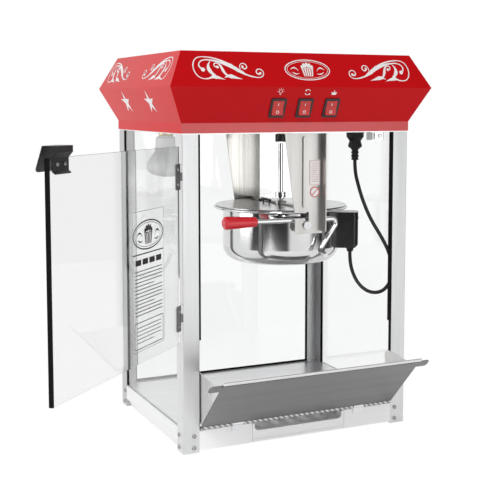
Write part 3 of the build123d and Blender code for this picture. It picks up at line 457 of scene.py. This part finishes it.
# The front canopy takes a darker copy of the red enamel: painted shade on the front faces.
SHADED_FRONT_ENAMEL = enamel("front_red_enamel_painted_shade", (0.58, 0.0006, 0.004), (0.52, 0.0005, 0.003), BAND_TOP)
RED_GRIP = moulded("red_grip", (0.66, 0.004, 0.016), 0.22, 300, coat=0.5, contrast=0.05)
RED_ROCKER = moulded("red_rocker", (0.55, 0.010, 0.006), 0.22, 600, coat=0.4, contrast=0.08)
BLACK_PLASTIC = moulded("black_plastic", (0.014, 0.014, 0.016), 0.36, contrast=0.3)
GLOSS_BLACK = moulded("gloss_black", (0.010, 0.010, 0.012), 0.24, 500, coat=0.4, contrast=0.3)
BLACK_RUBBER = moulded("black_rubber", (0.010, 0.010, 0.011), 0.50, 2200, contrast=0.3)
TRIM_BLACK = moulded("trim_black", (0.002, 0.002, 0.002), 0.55, 1600, contrast=0.3, specular=0.12)
BLACK_STEEL = moulded("black_steel", (0.010, 0.010, 0.010), 0.38, 1500, contrast=0.3, specular=0.4)
CAST = moulded("motor_casting", (0.22, 0.225, 0.235), 0.5, 900)
BRASS = brushed("brass", (0.72, 0.52, 0.22), "Z", roughness=0.28)
ELEMENT = moulded("element_steel", (0.16, 0.14, 0.13), 0.5, 800)
CLEAR = pane("clear_glass", (0.955, 0.965, 0.962))
# The door pane takes a greyer tint than the other panes: painted shade.
SHADED_DOOR_CLEAR = pane("door_clear_glass_painted_shade", (0.915, 0.918, 0.918))
FROSTED = frosted("frosted_glass")
WHITE_VINYL = moulded("white_vinyl", (0.88, 0.86, 0.86), 0.42, 900, contrast=0.03)
LABEL_WHITE = moulded("label_white", (0.84, 0.84, 0.83), 0.45, 1200, contrast=0.03)
LABEL_RED = moulded("label_red", (0.62, 0.03, 0.02), 0.4, 900, contrast=0.05)
PRINT_GREY = moulded("print_grey", (0.10, 0.105, 0.11), 0.5, 900, contrast=0.2)
PRINT_BLACK = moulded("print_black", (0.016, 0.016, 0.016), 0.5, 900, contrast=0.2, specular=0.3)
NOTICE_FILM = film("notice_film", (0.93, 0.93, 0.93))
GROUND_EDGE = moulded("ground_edge", (0.06, 0.066, 0.062), 0.4, 900, specular=0.15)

NODE_MATERIALS = {
    "front_posts": ALUMINIUM, "rear_posts": SHADED_REAR_ALUMINIUM, "side_rails": LIT_RAIL_ALUMINIUM,
    "rear_rail": LIT_FRONT_ALUMINIUM, "front_rail": LIT_FRONT_ALUMINIUM, "bottom_plate": PAN_STEEL,
    "floor_pan": PAN_STEEL, "ceiling_plate": PAN_STEEL, "crumb_drawer": LIT_FRONT_ALUMINIUM,
    "drawer_runners": PAN_STEEL, "chute_panel": CHUTE_STEEL_PAINTED_LIGHT, "chute_cheeks": CHEEK_STEEL,
    "fixed_hinge_leaves": ZINC, "hinge_pins": CHROME, "hanger_front": HANGER_STEEL,
    "hanger_rear": SHADED_REAR_HANGER_STEEL, "side_glass": CLEAR, "rear_glass": CLEAR, "door_glass": SHADED_DOOR_CLEAR,
    "glazing_seals": TRIM_BLACK, "door_edge_trim": TRIM_BLACK, "cord_gland": BLACK_RUBBER,
    "kettle_cord": BLACK_RUBBER, "canopy_front": SHADED_FRONT_ENAMEL, "canopy_rear": RED_ENAMEL,
    "canopy_left": RED_ENAMEL, "canopy_right": RED_ENAMEL, "canopy_cover": RED_ENAMEL,
    "gear_motor": CAST, "terminal_block": BLACK_PLASTIC, "power_inlet": BLACK_PLASTIC,
    "drive_dog": BLACK_PLASTIC, "kettle_socket": BLACK_PLASTIC, "kettle_plug": BLACK_RUBBER,
    "door_catch": ZINC, "switch_housings": BLACK_PLASTIC, "terminal_box": GLOSS_BLACK,
    "lid_lift": BLACK_PLASTIC, "shaft_coupling": CHROME, "drive_shaft": BRASS,
    "lamp_holder": BRASS, "lamp_bulb": FROSTED, "kettle_pot": SPUN_STEEL, "kettle_jacket": SPUN_STEEL,
    "lid_left": LID_STEEL, "lid_right": LID_STEEL, "kettle_crossbar": HANGER_STEEL,
    "trunnion_pins": CHROME, "stirrer_shaft": CHROME, "stirrer": HANGER_STEEL, "handle_rod": CHROME,
    "cabinet_screws": SCREW_STEEL, "door_screws": SCREW_STEEL, "heating_element": ELEMENT,
    "handle_grip": RED_GRIP, "door_handle": BLACK_STEEL, "door_hinge_leaves": GUN_METAL,
    "rocker_light": RED_ROCKER, "rocker_motor": RED_ROCKER, "rocker_heat": RED_ROCKER,
}


def dress_nodes():
    for name, material in NODE_MATERIALS.items():
        paint(frame["nodes"][name], material)


def soften(name, width):
    """Rounds a folded sheet's sharp edges."""
    bevel = frame["nodes"][name].modifiers.new("soft_edges", "BEVEL")
    bevel.width = width
    bevel.segments = 2
    bevel.limit_method = "ANGLE"
    bevel.angle_limit = radians(20)


FOLD_RADIUS = 0.35 * MM

dress_nodes()
paint(cord, BLACK_RUBBER)
for side in ("front", "rear", "left", "right"):
    soften("canopy_" + side, FOLD_RADIUS)


# ---- printed decoration ----
def face_frame(origin, across, up):
    """Matrix whose X runs across a face, Y up it and Z out of it."""
    x = Vector(across).normalized()
    y = Vector(up).normalized()
    z = x.cross(y)
    matrix = Matrix((x, y, z)).transposed().to_4x4()
    matrix.translation = Vector(origin)
    return matrix


def strip(points, widths):
    """Quads of a stroke that follows points, with a width at each."""
    verts = []
    for i, (x, y) in enumerate(points):
        ax, ay = points[max(i - 1, 0)]
        bx, by = points[min(i + 1, len(points) - 1)]
        run = hypot(bx - ax, by - ay) or 1
        nx = -(by - ay) / run * widths[i] / 2
        ny = (bx - ax) / run * widths[i] / 2
        verts += [(x + nx, y + ny), (x - nx, y - ny)]
    faces = [(2 * i, 2 * i + 1, 2 * i + 3, 2 * i + 2) for i in range(len(points) - 1)]
    return verts, faces


def spiral(centre, start, end, angle, turns):
    """Points round a centre, from one radius to another."""
    steps = 30
    points = []
    for i in range(steps + 1):
        t = i / steps
        radius = start + (end - start) * t
        a = radians(angle) + 2 * pi * turns * t
        points.append((centre[0] + radius * cos(a), centre[1] + radius * sin(a)))
    return points


def bezier(p0, p1, p2, p3):
    steps = 16
    points = []
    for i in range(steps + 1):
        t = i / steps
        weights = ((1 - t) ** 3, 3 * t * (1 - t) ** 2, 3 * t * t * (1 - t), t ** 3)
        points.append(tuple(sum(w * p[axis] for w, p in zip(weights, (p0, p1, p2, p3)))
                            for axis in (0, 1)))
    return points


def taper(count, start, middle, end):
    """Widths of a stroke, in even steps from its start to its middle to its end."""
    widths = []
    for i in range(count):
        t = 2 * i / (count - 1)
        widths.append(start + (middle - start) * t if t < 1 else middle + (end - middle) * (t - 1))
    return widths


def stroke(points, start, middle, end):
    return strip(points, taper(len(points), start, middle, end))


def circle(x, y, rx, ry, steps):
    return [(x + rx * cos(2 * pi * i / steps), y + ry * sin(2 * pi * i / steps)) for i in range(steps)]


def disc(x, y, radius, steps=20):
    return circle(x, y, radius, radius, steps), [tuple(range(steps))]


def ring(x, y, rx, ry, width, steps=48):
    points = circle(x, y, rx, ry, steps)
    return strip(points + points[:1], [width] * (steps + 1))


def flourish():
    """Scroll ornament, 112 by 38 mm, drawn for the left end of a face."""
    end_curl = spiral((48, -5.5), 8.4, 2.2, -95, 1.15)
    high_curl = spiral((25, 3.5), 7.2, 2.2, -150, -1.1)
    return [stroke(bezier((24, -8), (2, 11), (-20, 20), (-41, 19)), 3.6, 2.6, 1.5),
            stroke(bezier((-41, 19), (-61, 18), (-60, -16), (-41, -17)), 1.5, 1.9, 1.5),
            stroke(bezier((-41, -17), (-32, -17), (-27, -14), (-25, -8)), 1.5, 2.6, 4.4),
            stroke(bezier((-42, -1), (-51, 4), (-45, 16), (-30, 14)), 2.6, 1.9, 2.0),
            stroke(bezier((-30, 14), (-12, 13), (0, 6), (14, -3)), 2.0, 4.4, 3.4), disc(-41, -2, 3.3),
            stroke(bezier((-27, 12), (-37, 3), (-31, -9), (-17, -15)), 0.8, 6.4, 0.8),
            stroke(bezier((-34, -17), (-26, -12), (-20, -14), (-9, -18)), 0.6, 6.0, 0.4),
            stroke(bezier((-18, 3), (-24, 2), (-24, 10), (-17, 9)), 2.2, 1.6, 1.8),
            disc(-17.4, 2.6, 2.3),
            stroke(bezier((-17, 9), (-7, 5), (-14, -9), (2, -14)), 1.8, 4.6, 2.0),
            stroke(bezier((-9, -15), (-2, -9), (4, -14), (19, -17)), 0.6, 7.0, 0.4),
            stroke(bezier((4, 9), (8, 4), (14, 0), (18, -5)), 0.4, 3.0, 1.4),
            stroke(high_curl, 1.2, 1.7, 2.2), disc(*high_curl[-1], 1.9),
            stroke(bezier((12, -2), (24, -9), (36, -14.5), (48, -13.9)), 4.2, 2.4, 1.4),
            stroke(end_curl, 1.4, 1.6, 2.4), disc(*end_curl[-1], 2.1)]


def emblem():
    """Plain popcorn tub in an oval."""
    shapes = [ring(0, 0, 38, 17, 1.6), ring(0, 0, 34.5, 14.2, 0.6)]
    for i in range(-2, 3):
        shapes.append(strip([(i * 3.1, -11), (i * 4.2, 1.5)], [1.9, 2.6]))
    shapes.append(strip([(-10.6, 2.4), (10.6, 2.4)], [1.2, 1.2]))
    for x, y, r in ((-8, 5.4, 2.6), (-3, 6.6, 3.0), (3, 6.6, 3.0), (8, 5.4, 2.6), (0, 10.0, 2.4),
                    (-5, 9.2, 2.0), (5, 9.2, 2.0)):
        shapes.append(disc(x, y, r))
    for k in (-1, 1):
        upper = bezier((k * 16, -2), (k * 20, 6), (k * 25, 4), (k * 29, 0))
        lower = bezier((k * 15, -6), (k * 20, -9), (k * 24, -6), (k * 27, -4))
        shapes += [stroke(upper, 0.5, 2.4, 0.5), stroke(lower, 0.5, 2.0, 0.5)]
    return shapes


def star(radius):
    waist = radius * 0.34
    points = []
    for i in range(10):
        r = radius if i % 2 == 0 else waist
        a = pi / 2 + i * pi / 5
        points.append((r * cos(a), r * sin(a)))
    return [([(0, 0)] + points, [(0, i + 1, (i + 1) % 10 + 1) for i in range(10)])]


def mirrored(shapes):
    return [([(-x, y) for x, y in verts], [tuple(reversed(face)) for face in faces])
            for verts, faces in shapes]


def moved(shapes, up, size=1.0):
    return [([(x * size, y * size + up) for x, y in verts], faces) for verts, faces in shapes]


DECAL_STEP = 0.01


def decal(name, shapes, place, material, body, lift=0.12):
    """Thin printed shapes on a face; each stroke lies a hair above the last."""
    verts = []
    faces = []
    for i, (points, polygons) in enumerate(shapes):
        base = len(verts)
        height = (lift + DECAL_STEP * i) * MM
        verts += [place @ Vector((x * MM, y * MM, height)) for x, y in points]
        faces += [tuple(base + k for k in polygon) for polygon in polygons]
    paint(mesh_object(name, verts, faces, body), material)


UPPER_MID = (RIDGE_Z + CANOPY_TOP) / 2
UPPER_OUT = (RIDGE_OUT + BAND_OUT) / 2


def upper_face(side, along):
    """Middle of an upper canopy face, moved along it."""
    if side == "front":
        return face_frame((along, -HALF_D - UPPER_OUT, UPPER_MID), (1, 0, 0), (0, SLOPE_RUN, UPPER_RISE))
    sign = -1 if side == "left" else 1
    return face_frame((sign * (HALF_W + UPPER_OUT), sign * along, UPPER_MID), (0, sign, 0),
                      (-sign * SLOPE_RUN, 0, UPPER_RISE))


def lower_face(side, along, up):
    """Point on a lower canopy face, a distance up its slope from the band."""
    share = up / hypot(SLOPE_RUN, LOWER_RISE)
    out = BAND_OUT + SLOPE_RUN * share
    z = BAND_TOP + LOWER_RISE * share
    if side == "front":
        return face_frame((along, -HALF_D - out, z), (1, 0, 0), (0, -SLOPE_RUN, LOWER_RISE))
    sign = -1 if side == "left" else 1
    return face_frame((sign * (HALF_W + out), sign * along, z), (0, sign, 0),
                      (sign * SLOPE_RUN, 0, LOWER_RISE))


def bulb_icon():
    rays = [strip([(4.4 * cos(a), 1 + 4.4 * sin(a)), (5.8 * cos(a), 1 + 5.8 * sin(a))], [0.6, 0.6])
            for a in [radians(d) for d in (0, 45, 90, 135, 180)]]
    return [ring(0, 1, 2.8, 2.8, 0.7), strip([(-1.1, -3.2), (1.1, -3.2)], [0.7] * 2),
            strip([(-0.8, -4.4), (0.8, -4.4)], [0.7] * 2)] + rays


def turn_icon():
    """Two arrows chasing each other round a circle."""
    shapes = []
    for angle in (20, 200):
        arc = spiral((0, 0), 4.4, 4.4, angle, 0.30)
        (ax, ay), (bx, by) = arc[-2], arc[-1]
        run = hypot(bx - ax, by - ay)
        tip = (bx + 2.6 * (bx - ax) / run, by + 2.6 * (by - ay) / run)
        shapes += [stroke(arc, 0.9, 0.9, 0.9), strip([arc[-1], tip], [3.4, 0.1])]
    return shapes


def heat_icon():
    return [strip([(-4, -2.5), (4, -2.5)], [3.4, 3.4]), strip([(-5.2, -0.4), (5.2, -0.4)], [0.8] * 2),
            strip([(0, 0), (0, 1.6)], [0.8] * 2), disc(0, 2.2, 0.9)]


def middle_x(name):
    low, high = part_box(name)
    return (low[0] + high[0]) / 2


SWITCHES = {switch: middle_x("rocker_" + switch) for switch in ("light", "motor", "heat")}
EMBLEM_AT = 4.5 * MM
FRONT_SCROLLS = (-126 * MM, 131 * MM)
SIDE_SCROLLS = (-96 * MM, 86 * MM)
STARS_AT = (-58 * MM, 58 * MM)
STARS_UP = 34 * MM
STAR_R = 21              # millimetres
ICONS_UP = 51 * MM


def decorate_canopy():
    left, right = FRONT_SCROLLS
    decal("scroll_front_left", flourish(), upper_face("front", left), WHITE_VINYL, "cabinet")
    decal("scroll_front_right", mirrored(flourish()), upper_face("front", right), WHITE_VINYL, "cabinet")
    decal("front_emblem", emblem(), upper_face("front", EMBLEM_AT), WHITE_VINYL, "cabinet")
    for side in ("left", "right"):
        first, second = (upper_face(side, along) for along in SIDE_SCROLLS)
        decal("scroll_%s_a" % side, flourish(), first, WHITE_VINYL, "cabinet")
        decal("scroll_%s_b" % side, mirrored(flourish()), second, WHITE_VINYL, "cabinet")
        for i, along in enumerate(STARS_AT):
            decal("star_%s_%d" % (side, i), star(STAR_R), lower_face(side, along, STARS_UP), WHITE_VINYL,
                  "cabinet")
    icons = {"light": bulb_icon(), "turn": turn_icon(), "heat": heat_icon()}
    for (name, icon), x in zip(icons.items(), SWITCHES.values()):
        decal("icon_" + name, icon, lower_face("front", x, ICONS_UP), WHITE_VINYL, "cabinet")


# ---- rocker faces, as built: two halves that rise a little towards their ends ----
SWITCH_UP = 24.9 * MM
ROCKER_SUNK = 3 * MM
ROCKER_FACE = 5.0
ROCKER_TILT = radians(-7)
ROCKER_RISE = 1.4 / 11.5
ON_MARK_AT = 5.4         # millimetres from the rocker's middle
OFF_MARK_AT = -6.4


def rocker_face(x, y):
    """Point on a rocker's face, y millimetres above its middle."""
    pivot = lower_face("front", x, SWITCH_UP) @ Matrix.Translation((0, 0, -ROCKER_SUNK))
    tipped = pivot @ Matrix.Rotation(ROCKER_TILT, 4, "X")
    on_face = tipped @ Matrix.Translation((0, y * MM, (ROCKER_FACE + ROCKER_RISE * abs(y)) * MM))
    return on_face @ Matrix.Rotation(copysign(atan(ROCKER_RISE), y), 4, "X")


def mark_rockers():
    on_mark = [strip([(0, -2.2), (0, 2.2)], [0.9, 0.9])]
    off_mark = [ring(0, 0, 2.1, 2.1, 0.8, 28)]
    for name, x in SWITCHES.items():
        body = name + "_switch"
        decal("on_mark_" + name, on_mark, rocker_face(x, ON_MARK_AT), WHITE_VINYL, body, lift=0.05)
        decal("off_mark_" + name, off_mark, rocker_face(x, OFF_MARK_AT), WHITE_VINYL, body, lift=0.05)


decorate_canopy()
mark_rockers()


# ---- labels ----
def panel_sheet(width, height, corner=2.5):
    """Rounded rectangle centred on the origin."""
    steps = 5
    points = []
    for i, (sx, sy) in enumerate(((1, 1), (-1, 1), (-1, -1), (1, -1))):
        for k in range(steps + 1):
            a = pi / 2 * (i + k / steps)
            points.append((sx * (width / 2 - corner) + corner * cos(a),
                           sy * (height / 2 - corner) + corner * sin(a)))
    return points, [tuple(range(len(points)))]


def outline(width, height, line):
    points = panel_sheet(width, height)[0]
    return strip(points + [points[0]], [line] * (len(points) + 1))


def ruled(width, top, count, pitch, line):
    """Blank ruled lines, the last of each group of five cut short."""
    rows = []
    for i in range(count):
        right = width * 0.2 if i % 5 == 4 else width / 2
        rows.append(strip([(-width / 2, top - i * pitch), (right, top - i * pitch)], [line, line]))
    return rows


# The door as it stands when shut: x along it from the hinge, z up, y towards the inside.
SHUT_DOOR = Matrix.Translation((DOOR_AXIS.x, DOOR_AXIS.y, 0)) @ Matrix.Rotation(-DOOR_CLOSED, 4, "Z")
NOTICE_MIDDLE = (103 * MM, 0, 285 * MM)
NOTICE_W, NOTICE_H = 94, 192     # millimetres


def door_notice():
    """Blank notice on the door: plain tub, ruled lines and a bordered box, with no lettering."""
    place = SHUT_DOOR @ face_frame(NOTICE_MIDDLE, (-1, 0, 0), (0, 0, 1))
    decal("notice_sheet", [panel_sheet(NOTICE_W, NOTICE_H)], place, NOTICE_FILM, "door", lift=0.15)
    rule = [strip([(-45, 37), (45, 37)], [1.6, 1.6]), outline(NOTICE_W - 1, NOTICE_H - 1, 0.5)]
    heading = [strip([(x - 8, 26), (x + 8, 26)], [8, 8]) for x in (-30, -10, 10, 30)]
    lines = ruled(80, 14, 13, 5.0, 1.1)
    box = moved([outline(84, 36, 1.0)] + ruled(72, 11, 5, 5.2, 0.9), -74)
    decal("notice_print", moved(emblem(), 62, 1.16) + rule + heading + lines + box, place, PRINT_BLACK,
          "door", lift=0.2)


PANE_START = 5.0 * MM
PANE_END = 345.5 * MM
PANE_THICK = 4.0 * MM
EDGE_LIFT = 0.05 * MM


def ground_edge():
    """Ground edge of the door pane: dark grey bands along its bottom, top and hinge side."""
    low, high = (corner[2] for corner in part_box("door_glass"))
    verts = []
    for z in (low - EDGE_LIFT, high + EDGE_LIFT):
        verts += [(PANE_START, 0, z), (PANE_END, 0, z), (PANE_END, -PANE_THICK, z),
                  (PANE_START, -PANE_THICK, z)]
    side = PANE_START - EDGE_LIFT
    verts += [(side, 0, low), (side, -PANE_THICK, low), (side, -PANE_THICK, high), (side, 0, high)]
    faces = [tuple(range(i, i + 4)) for i in (0, 4, 8)]
    paint(mesh_object("door_ground_edge", [SHUT_DOOR @ Vector(v) for v in verts], faces, "door"),
          GROUND_EDGE)


LABELS_X = 43.0 * MM
TAG_W, TAG_H = 19, 41            # millimetres
TAG_Z = 416 * MM
SIGN_Z = 385 * MM
HANGER_FLANGE = 2.0 * MM


def hanger_labels():
    """Blank red-bordered tag and a round bar sign on the front hanger."""
    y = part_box("hanger_front")[1][1] - HANGER_FLANGE
    tag = face_frame((LABELS_X, y, TAG_Z), (1, 0, 0), (0, 0, 1))
    border = [outline(TAG_W - 2, TAG_H - 2, 0.5)] + ruled(11, 14, 9, 3.5, 0.5)
    decal("tag_ground", [panel_sheet(TAG_W, TAG_H, 1.5)], tag, LABEL_WHITE, "cabinet", lift=0.06)
    decal("tag_border", border, tag, LABEL_RED, "cabinet", lift=0.1)
    sign = face_frame((LABELS_X, y, SIGN_Z), (1, 0, 0), (0, 0, 1))
    bar_sign = [ring(0, 0, 7.7, 7.7, 1.4), strip([(-5.2, -5.2), (5.2, 5.2)], [1.3, 1.3])]
    decal("sign_ground", [disc(0, 0, 8.6, 36)], sign, LABEL_WHITE, "cabinet", lift=0.06)
    decal("sign_ring", bar_sign, sign, LABEL_RED, "cabinet", lift=0.1)


PLATE_X = 95 * MM
PLATE_W, PLATE_H = 62, 34        # millimetres


def rating_plate():
    """Blank rating plate above the inlet, on the rear canopy."""
    place = face_frame((PLATE_X, HALF_D + UPPER_OUT, UPPER_MID), (-1, 0, 0),
                       (0, -SLOPE_RUN, UPPER_RISE))
    border = [outline(PLATE_W - 4, PLATE_H - 4, 0.7)] + ruled(46, 8, 4, 5.2, 0.6)
    decal("rating_plate", [panel_sheet(PLATE_W, PLATE_H, 2)], place, ZINC, "cabinet", lift=0.1)
    decal("rating_border", border, place, PRINT_GREY, "cabinet", lift=0.14)


door_notice()
ground_edge()
hanger_labels()
rating_plate()


# ---- stage, lights ----
def area_light(name, at, aim, size, power):
    data = bpy.data.lights.new(name, "AREA")
    data.shape = "RECTANGLE"
    data.size, data.size_y = size
    data.energy = power
    lamp = bpy.data.objects.new(name, data)
    lamp.location = at
    lamp.rotation_euler = (Vector(aim) - Vector(at)).to_track_quat("-Z", "Y").to_euler()
    bpy.context.collection.objects.link(lamp)


def seen_directly(tree):
    """1 on what is seen straight or through glass, and 0 on what lights or mirrors see."""
    rays = tree.nodes.new("ShaderNodeLightPath")
    bounces = tree.nodes.new("ShaderNodeMath")
    bounces.operation = "ADD"
    tree.links.new(rays.outputs["Diffuse Depth"], bounces.inputs[0])
    tree.links.new(rays.outputs["Glossy Depth"], bounces.inputs[1])
    none = tree.nodes.new("ShaderNodeMath")
    none.operation = "LESS_THAN"
    none.inputs[1].default_value = 0.5
    tree.links.new(bounces.outputs[0], none.inputs[0])
    return none.outputs[0]


# Brightness of the room by compass bearing, in degrees: -180 is left of the machine, -90 in front of
# it and 0 right of it. Two dark gaps in front give the metal its dark bands.
ROOM = [(-180, 0.8), (-174, 0.03), (-103, 0.03), (-96, 0.9), (-58, 0.9), (-48, 0.03), (0, 0.03),
        (10, 0.55), (32, 0.95), (98, 0.95), (110, 1.0), (180, 0.95)]
ROOM_PEAK = 1.5
CEILING_GLOW = 0.40
CEILING_START = 0.45     # sine of the height angle where the walls start to turn into the ceiling
CEILING_FULL = 0.80


def make_room():
    """The room as lit surfaces and mirrors see it; seen straight on, it is plain white."""
    world = bpy.data.worlds.new("studio")
    world.use_nodes = True
    tree = world.node_tree
    link = tree.links.new
    background = tree.nodes["Background"]
    coords = tree.nodes.new("ShaderNodeTexCoord")
    bearing = tree.nodes.new("ShaderNodeTexGradient")
    bearing.gradient_type = "RADIAL"
    link(coords.outputs["Generated"], bearing.inputs["Vector"])
    ramp = tree.nodes.new("ShaderNodeValToRGB")
    elements = ramp.color_ramp.elements
    while len(elements) < len(ROOM):
        elements.new(0.5)
    for element, (angle, level) in zip(elements, ROOM):
        element.position = (angle + 180) / 360
        element.color = (*[level / ROOM_PEAK] * 3, 1)
    link(bearing.outputs["Fac"], ramp.inputs["Fac"])
    scale = tree.nodes.new("ShaderNodeMath")
    scale.operation = "MULTIPLY"
    scale.inputs[1].default_value = ROOM_PEAK
    link(ramp.outputs["Color"], scale.inputs[0])
    split = tree.nodes.new("ShaderNodeSeparateXYZ")
    link(coords.outputs["Generated"], split.inputs["Vector"])
    rise = tree.nodes.new("ShaderNodeMapRange")
    rise.interpolation_type = "SMOOTHSTEP"
    rise.inputs["From Min"].default_value = CEILING_START
    rise.inputs["From Max"].default_value = CEILING_FULL
    link(split.outputs["Z"], rise.inputs["Value"])
    blend = tree.nodes.new("ShaderNodeMix")
    blend.data_type = "FLOAT"
    link(rise.outputs["Result"], blend.inputs[0])
    link(scale.outputs[0], blend.inputs[2])
    blend.inputs[3].default_value = CEILING_GLOW
    pick = tree.nodes.new("ShaderNodeMix")
    pick.data_type = "FLOAT"
    link(seen_directly(tree), pick.inputs[0])
    link(blend.outputs[0], pick.inputs[2])
    pick.inputs[3].default_value = 1.0
    link(pick.outputs[0], background.inputs["Strength"])
    background.inputs["Color"].default_value = (1, 1, 1, 1)
    bpy.context.scene.world = world


FLOOR_REACH = 1.7
FLOOR_GLOW = 0.36


def make_floor():
    """Pale floor that lights the machine from below; seen straight on, it is plain white."""
    corners = [(FLOOR_REACH * x, FLOOR_REACH * y, 0) for x, y in ((-1, -1), (1, -1), (1, 1), (-1, 1))]
    floor = mesh_object("floor", corners, [(0, 1, 2, 3)], None)
    shader = Shader("pale_floor", (0.80, 0.80, 0.80), 0.7, specular=0.0)
    seen = seen_directly(shader.tree)
    paper = shader.ramp(shader.noise(6, detail=2), (0.79, 0.79, 0.79), (0.81, 0.81, 0.81))
    shader.feed(shader.mix(seen, paper, (0, 0, 0)), "Base Color")
    shader.set("Emission Color", (1, 1, 1, 1))
    shader.feed(shader.remap(seen, FLOOR_GLOW, 1.0, 0.0, 1.0), "Emission Strength")
    paint(floor, shader.material)


def make_lights():
    area_light("key", (-1.4, -2.0, 2.7), (0, 0, 0.4), (1.0, 1.0), 46)
    area_light("low_card", (1.26, -2.86, 0.25), (0, -0.15, 0.45), (1.6, 0.40), 4.5)
    area_light("left_card", (-2.6, 0.3, 0.35), (0, 0, 0.35), (1.4, 0.7), 7)


make_room()
make_floor()
make_lights()
bpy.context.scene.view_settings.view_transform = "Standard"
